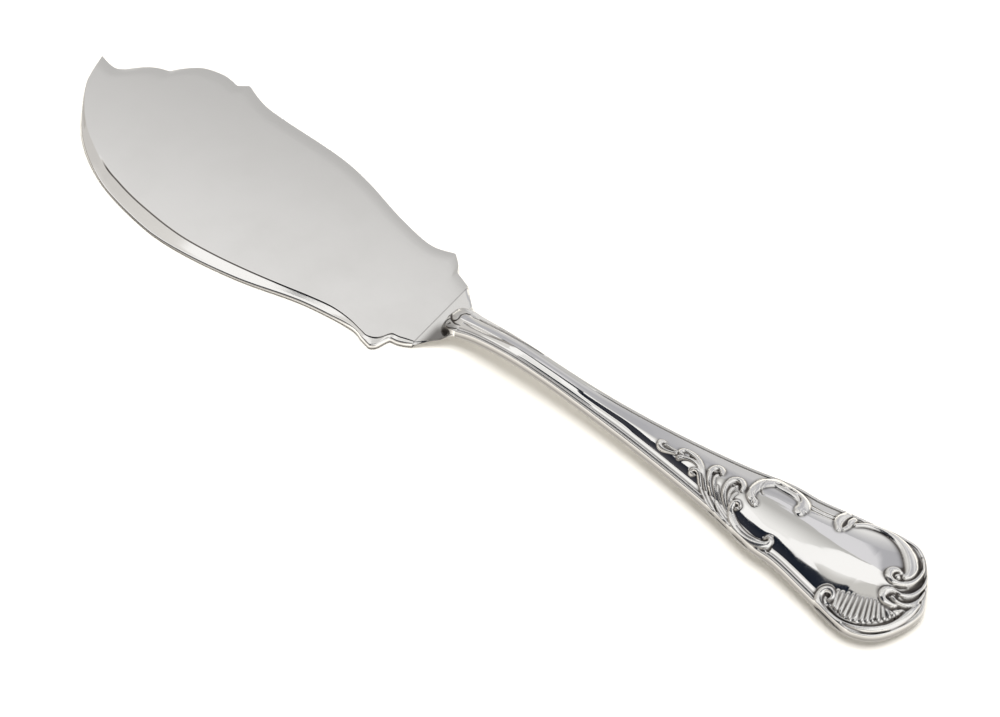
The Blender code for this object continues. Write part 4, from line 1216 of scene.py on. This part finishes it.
def matt_white():
    """Matt white with a small share of plain white for camera and mirrors."""
    material, tree, shader = new_material("table_white")
    shader.inputs["Roughness"].default_value = 0.9
    shader.inputs["Specular IOR Level"].default_value = 0.0
    shader.inputs["Base Color"].default_value = (*FLOOR_WHITE, 1.0)
    plain_white = add_node(tree, "ShaderNodeEmission")
    share = add_node(tree, "ShaderNodeMapRange", To_Min=0.0, To_Max=FLOOR_LIFT)
    blend = add_node(tree, "ShaderNodeMixShader")
    wire(tree,
         (seen_or_mirrored(tree), "Value", share, "Value"), (share, "Result", blend, "Fac"),
         (shader, "BSDF", blend, 1), (plain_white, "Emission", blend, 2),
         (blend, "Shader", tree.nodes["Material Output"], "Surface"))
    return material


half = 0.5 * FLOOR_SIZE
flat_sheet("table", [(-half, -half, 0.0), (half, -half, 0.0), (half, half, 0.0), (-half, half, 0.0)],
           matt_white())
print("table is", FLOOR_SIZE, "m wide")

# %% [markdown]
# Thirteen cards that only mirrors see stand outside the picture, as a photographer puts cards round
# silver. A dark one hangs over the camera's side, paler ones over the far side and beside the knife,
# and each gives the polished metal one of its bands. Lamps could do it too, but would also light the
# table. A card's outline is drawn in slopes: how far it lies to the side for every metre of height.

# %% Cards that only mirrors see
CEILING = 8.0                 # height of the cards; one that hangs lower covers those above it
CARD_CENTRE = (0.18, 0.0)     # under this point of the ceiling lies the panel of the handle


def mirror_card(name, corners, first, second, direction, start, stop):
    """Flat card that shows in reflections only and casts no shadow.

    The colour goes from first to second where the position along the direction goes from start
    to stop.
    """
    material, tree, _ = new_material(name)
    tree.nodes.clear()
    glow = add_node(tree, "ShaderNodeEmission")
    end = add_node(tree, "ShaderNodeOutputMaterial")
    place = add_node(tree, "ShaderNodeTexCoord")
    along = add_node(tree, "ShaderNodeVectorMath", operation="DOT_PRODUCT")
    along.inputs[1].default_value = direction
    ramp = add_node(tree, "ShaderNodeMapRange", From_Min=start, From_Max=stop)
    mix = colour_mix(tree, first, second)
    wire(tree,
         (place, "Object", along, 0), (along, "Value", ramp, "Value"), (ramp, "Result", mix, "Factor"),
         (mix, "Result", glow, "Color"), (glow, "Emission", end, "Surface"))
    sheet = flat_sheet(name, corners, material)
    for rays in ("camera", "diffuse", "shadow", "transmission", "volume_scatter"):
        setattr(sheet, "visible_" + rays, False)


def ceiling_card(name, outline, first, second, direction, start, stop, height=CEILING):
    """Card under the ceiling, its outline in shares of the height, as the slope of a mirrored ray."""
    corners = [(CARD_CENTRE[0] + height * x, CARD_CENTRE[1] + height * y, height) for x, y in outline]
    slope = (direction[0] / CEILING, direction[1] / CEILING, 0.0)
    mirror_card(name, corners, first, second, slope, start, stop)


DARK_EDGE = [(0.2, 0.3), (-0.06, 0.135), (-0.13, 0.01), (-0.165, -0.06), (-0.28, -0.235),
             (-0.39, -0.285), (-0.44, -0.34), (-0.8, -0.6)]
SOFT_EDGE = [(1.4, 0.7), (0.15, 0.5), (-0.01, 0.335), (-0.085, 0.195), (-0.14, 0.065), (-0.17, -0.02)]
GREY_EDGE = [(-0.03, 0.72), (-0.1, 0.655), (-0.115, 0.6), (-0.13, 0.345), (-0.19, 0.105), (-0.235, 0.01),
             (-0.25, -0.07), (-0.27, -0.1), (-0.3, -0.1), (-0.335, -0.03), (-0.37, 0.08), (-0.43, 0.3)]
FAR_EDGE = [(-0.03, 0.735), (-0.075, 0.71), (-0.13, 0.7), (-0.155, 0.73), (-0.185, 0.745),
            (-0.24, 0.83), (-0.29, 0.86), (-0.34, 0.86)]
ceiling_card("dark_card", DARK_EDGE + [(-1.8, -1.0), (-1.8, -1.1), (0.2, -1.1)],
             (0.012, 0.016, 0.026), (0.06, 0.06, 0.07), (0.0, -1.0), 0.3, 1.0)
ceiling_card("soft_card", SOFT_EDGE + DARK_EDGE[3::-1] + [(1.4, 0.5)],
             (0.6, 0.59, 0.565), (1.0, 0.995, 0.985), (-0.9, 0.44), 0.11, 0.16)
ceiling_card("grey_card", GREY_EDGE + [(-1.1, 0.3), (-1.1, 1.0), (-0.36, 1.0)] + FAR_EDGE[::-1],
             (0.9, 0.895, 0.88), (0.5, 0.495, 0.48), (-0.25, 1.0), 0.08, 0.72)
ceiling_card("pale_card", [(1.5, 0.6)] + FAR_EDGE + [(-0.36, 1.0), (-1.1, 1.0), (-3.0, 3.4), (-3.0, 9.0),
                                                     (5.0, 9.0)],
             (0.73, 0.725, 0.75), (0.45, 0.45, 0.475), (2.2, 1.0), 0.82, 0.93)
ceiling_card("blade_card", [(-0.46, 0.3), (-0.5, 0.3), (-0.54, -0.15), (-1.8, -0.4), (-1.8, 0.9),
                            (-0.46, 0.9)],
             (0.785, 0.78, 0.775), (0.51, 0.505, 0.5), (-0.25, 1.0), 0.675, 0.79, 7.95)
ceiling_card("bevel_card", [(-0.5, 0.3), (-0.54, -0.15), (-1.8, -0.4), (-1.8, 0.5), (-0.8, 0.5),
                            (-0.7, 0.35)],
             (0.74, 0.725, 0.7), (0.61, 0.595, 0.575), (-1.0, 0.0), 0.54, 0.9, 7.88)
mirror_card("left_card", [(-5.0, -6.0, 0.0), (-5.0, 9.0, 0.0), (-5.0, 9.0, 2.9), (-5.0, -6.0, 2.9)],
            (0.62, 0.61, 0.59), (0.4, 0.375, 0.345), (0.0, -1.0, 0.0), -2.0, 2.0)
ceiling_card("fan_card", [(-0.85, 0.55), (-1.8, 0.55), (-1.8, 0.95), (-0.85, 0.95)],
             (0.74, 0.735, 0.725), (0.74, 0.735, 0.725), (0.0, 1.0), 0.0, 1.0, 7.85)
ceiling_card("side_card", [(-0.45, 0.85), (-3.0, 0.85), (-3.0, 1.8), (-0.45, 1.8)],
             (0.56, 0.56, 0.575), (0.45, 0.45, 0.475), (0.0, 1.0), 1.0, 1.6, 7.9)
ceiling_card("shoulder_card", [(-0.45, 1.8), (-4.0, 1.8), (-4.0, 9.0), (-0.45, 9.0)],
             (0.48, 0.48, 0.5), (0.61, 0.605, 0.61), (0.0, 1.0), 1.8, 2.8, 7.9)
ceiling_card("scroll_card", [(-0.45, 1.25), (1.5, 1.25), (1.5, 9.0), (-0.45, 9.0)],
             (0.5, 0.5, 0.52), (0.8, 0.795, 0.79), (0.0, 1.0), 1.25, 1.8, 7.9)
mirror_card("far_wall", [(-5.0, 7.0, 0.0), (7.0, 7.0, 0.0), (7.0, 7.0, 0.8), (-5.0, 7.0, 0.8)],
            (0.62, 0.615, 0.61), (0.62, 0.615, 0.61), (1.0, 0.0, 0.0), 0.0, 1.0)
ceiling_card("low_card", [(-4.0, -1.1), (-4.0, -9.0), (4.0, -9.0), (4.0, -1.1)],
             (0.2, 0.195, 0.19), (0.5, 0.47, 0.43), (0.0, -1.0), 1.1, 2.5)
print("thirteen cards stand outside the picture")

# %% [markdown]
# One soft lamp, as wide as a window, shines from nearly overhead and draws the shadow. A weaker
# fill from the world keeps the shadow open. Camera and mirrors see the world as a white room.

# %% World and lamp
FILL_LEVEL = 0.5
FILL_TINT = (1.0, 0.97, 0.87)
ROOM_WHITE = (1.0, 0.995, 0.985)
KEY_LEVEL = 2.7
KEY_WIDTH = np.radians(36.0)  # as wide as a window over the table
KEY_TILT = np.radians(4.0)    # the lamp leans this far out of the upright

world = bpy.data.worlds.new("white_room")
bpy.context.scene.world = world
world.use_nodes = True
room = world.node_tree
backdrop = room.nodes["Background"]
level = add_node(room, "ShaderNodeMapRange", To_Min=FILL_LEVEL, To_Max=1.0)
tint = colour_mix(room, FILL_TINT, ROOM_WHITE)
shown = seen_or_mirrored(room)
wire(room,
     (shown, "Value", level, "Value"), (shown, "Value", tint, "Factor"),
     (tint, "Result", backdrop, "Color"), (level, "Result", backdrop, "Strength"))

lamp_data = bpy.data.lights.new("window_light", "SUN")
lamp_data.energy = KEY_LEVEL
lamp_data.angle = KEY_WIDTH
lamp = bpy.data.objects.new("window_light", lamp_data)
bpy.context.scene.collection.objects.link(lamp)
lamp.rotation_euler = (-KEY_TILT, 0.0, 0.0)
lamp.visible_glossy = False
print("lamp level", KEY_LEVEL, "and fill level", FILL_LEVEL)

# %% [markdown]
# The camera looks down on the knife from the near right, at the angle of the photograph. It stands
# on a sphere round its target, so two angles and a distance say where it is.

# %% Camera
TARGET = np.array([0.0811, -0.0001, 0.0])
DISTANCE = 0.700
AZIMUTH, ELEVATION = np.radians(37.94), np.radians(54.35)
LENS, SENSOR = 93.0, 36.0

camera_data = bpy.data.cameras.new("camera")
camera_data.lens = LENS
camera_data.sensor_width = SENSOR
camera = bpy.data.objects.new("camera", camera_data)
bpy.context.scene.collection.objects.link(camera)
camera.location = TARGET + DISTANCE * np.array([np.cos(ELEVATION) * np.sin(AZIMUTH),
                                                -np.cos(ELEVATION) * np.cos(AZIMUTH), np.sin(ELEVATION)])
camera.rotation_euler = (0.5 * np.pi - ELEVATION, 0.0, AZIMUTH)
bpy.context.scene.camera = camera
bpy.context.scene.view_settings.view_transform = "Standard"
print("camera at", [round(v, 4) for v in camera.location])
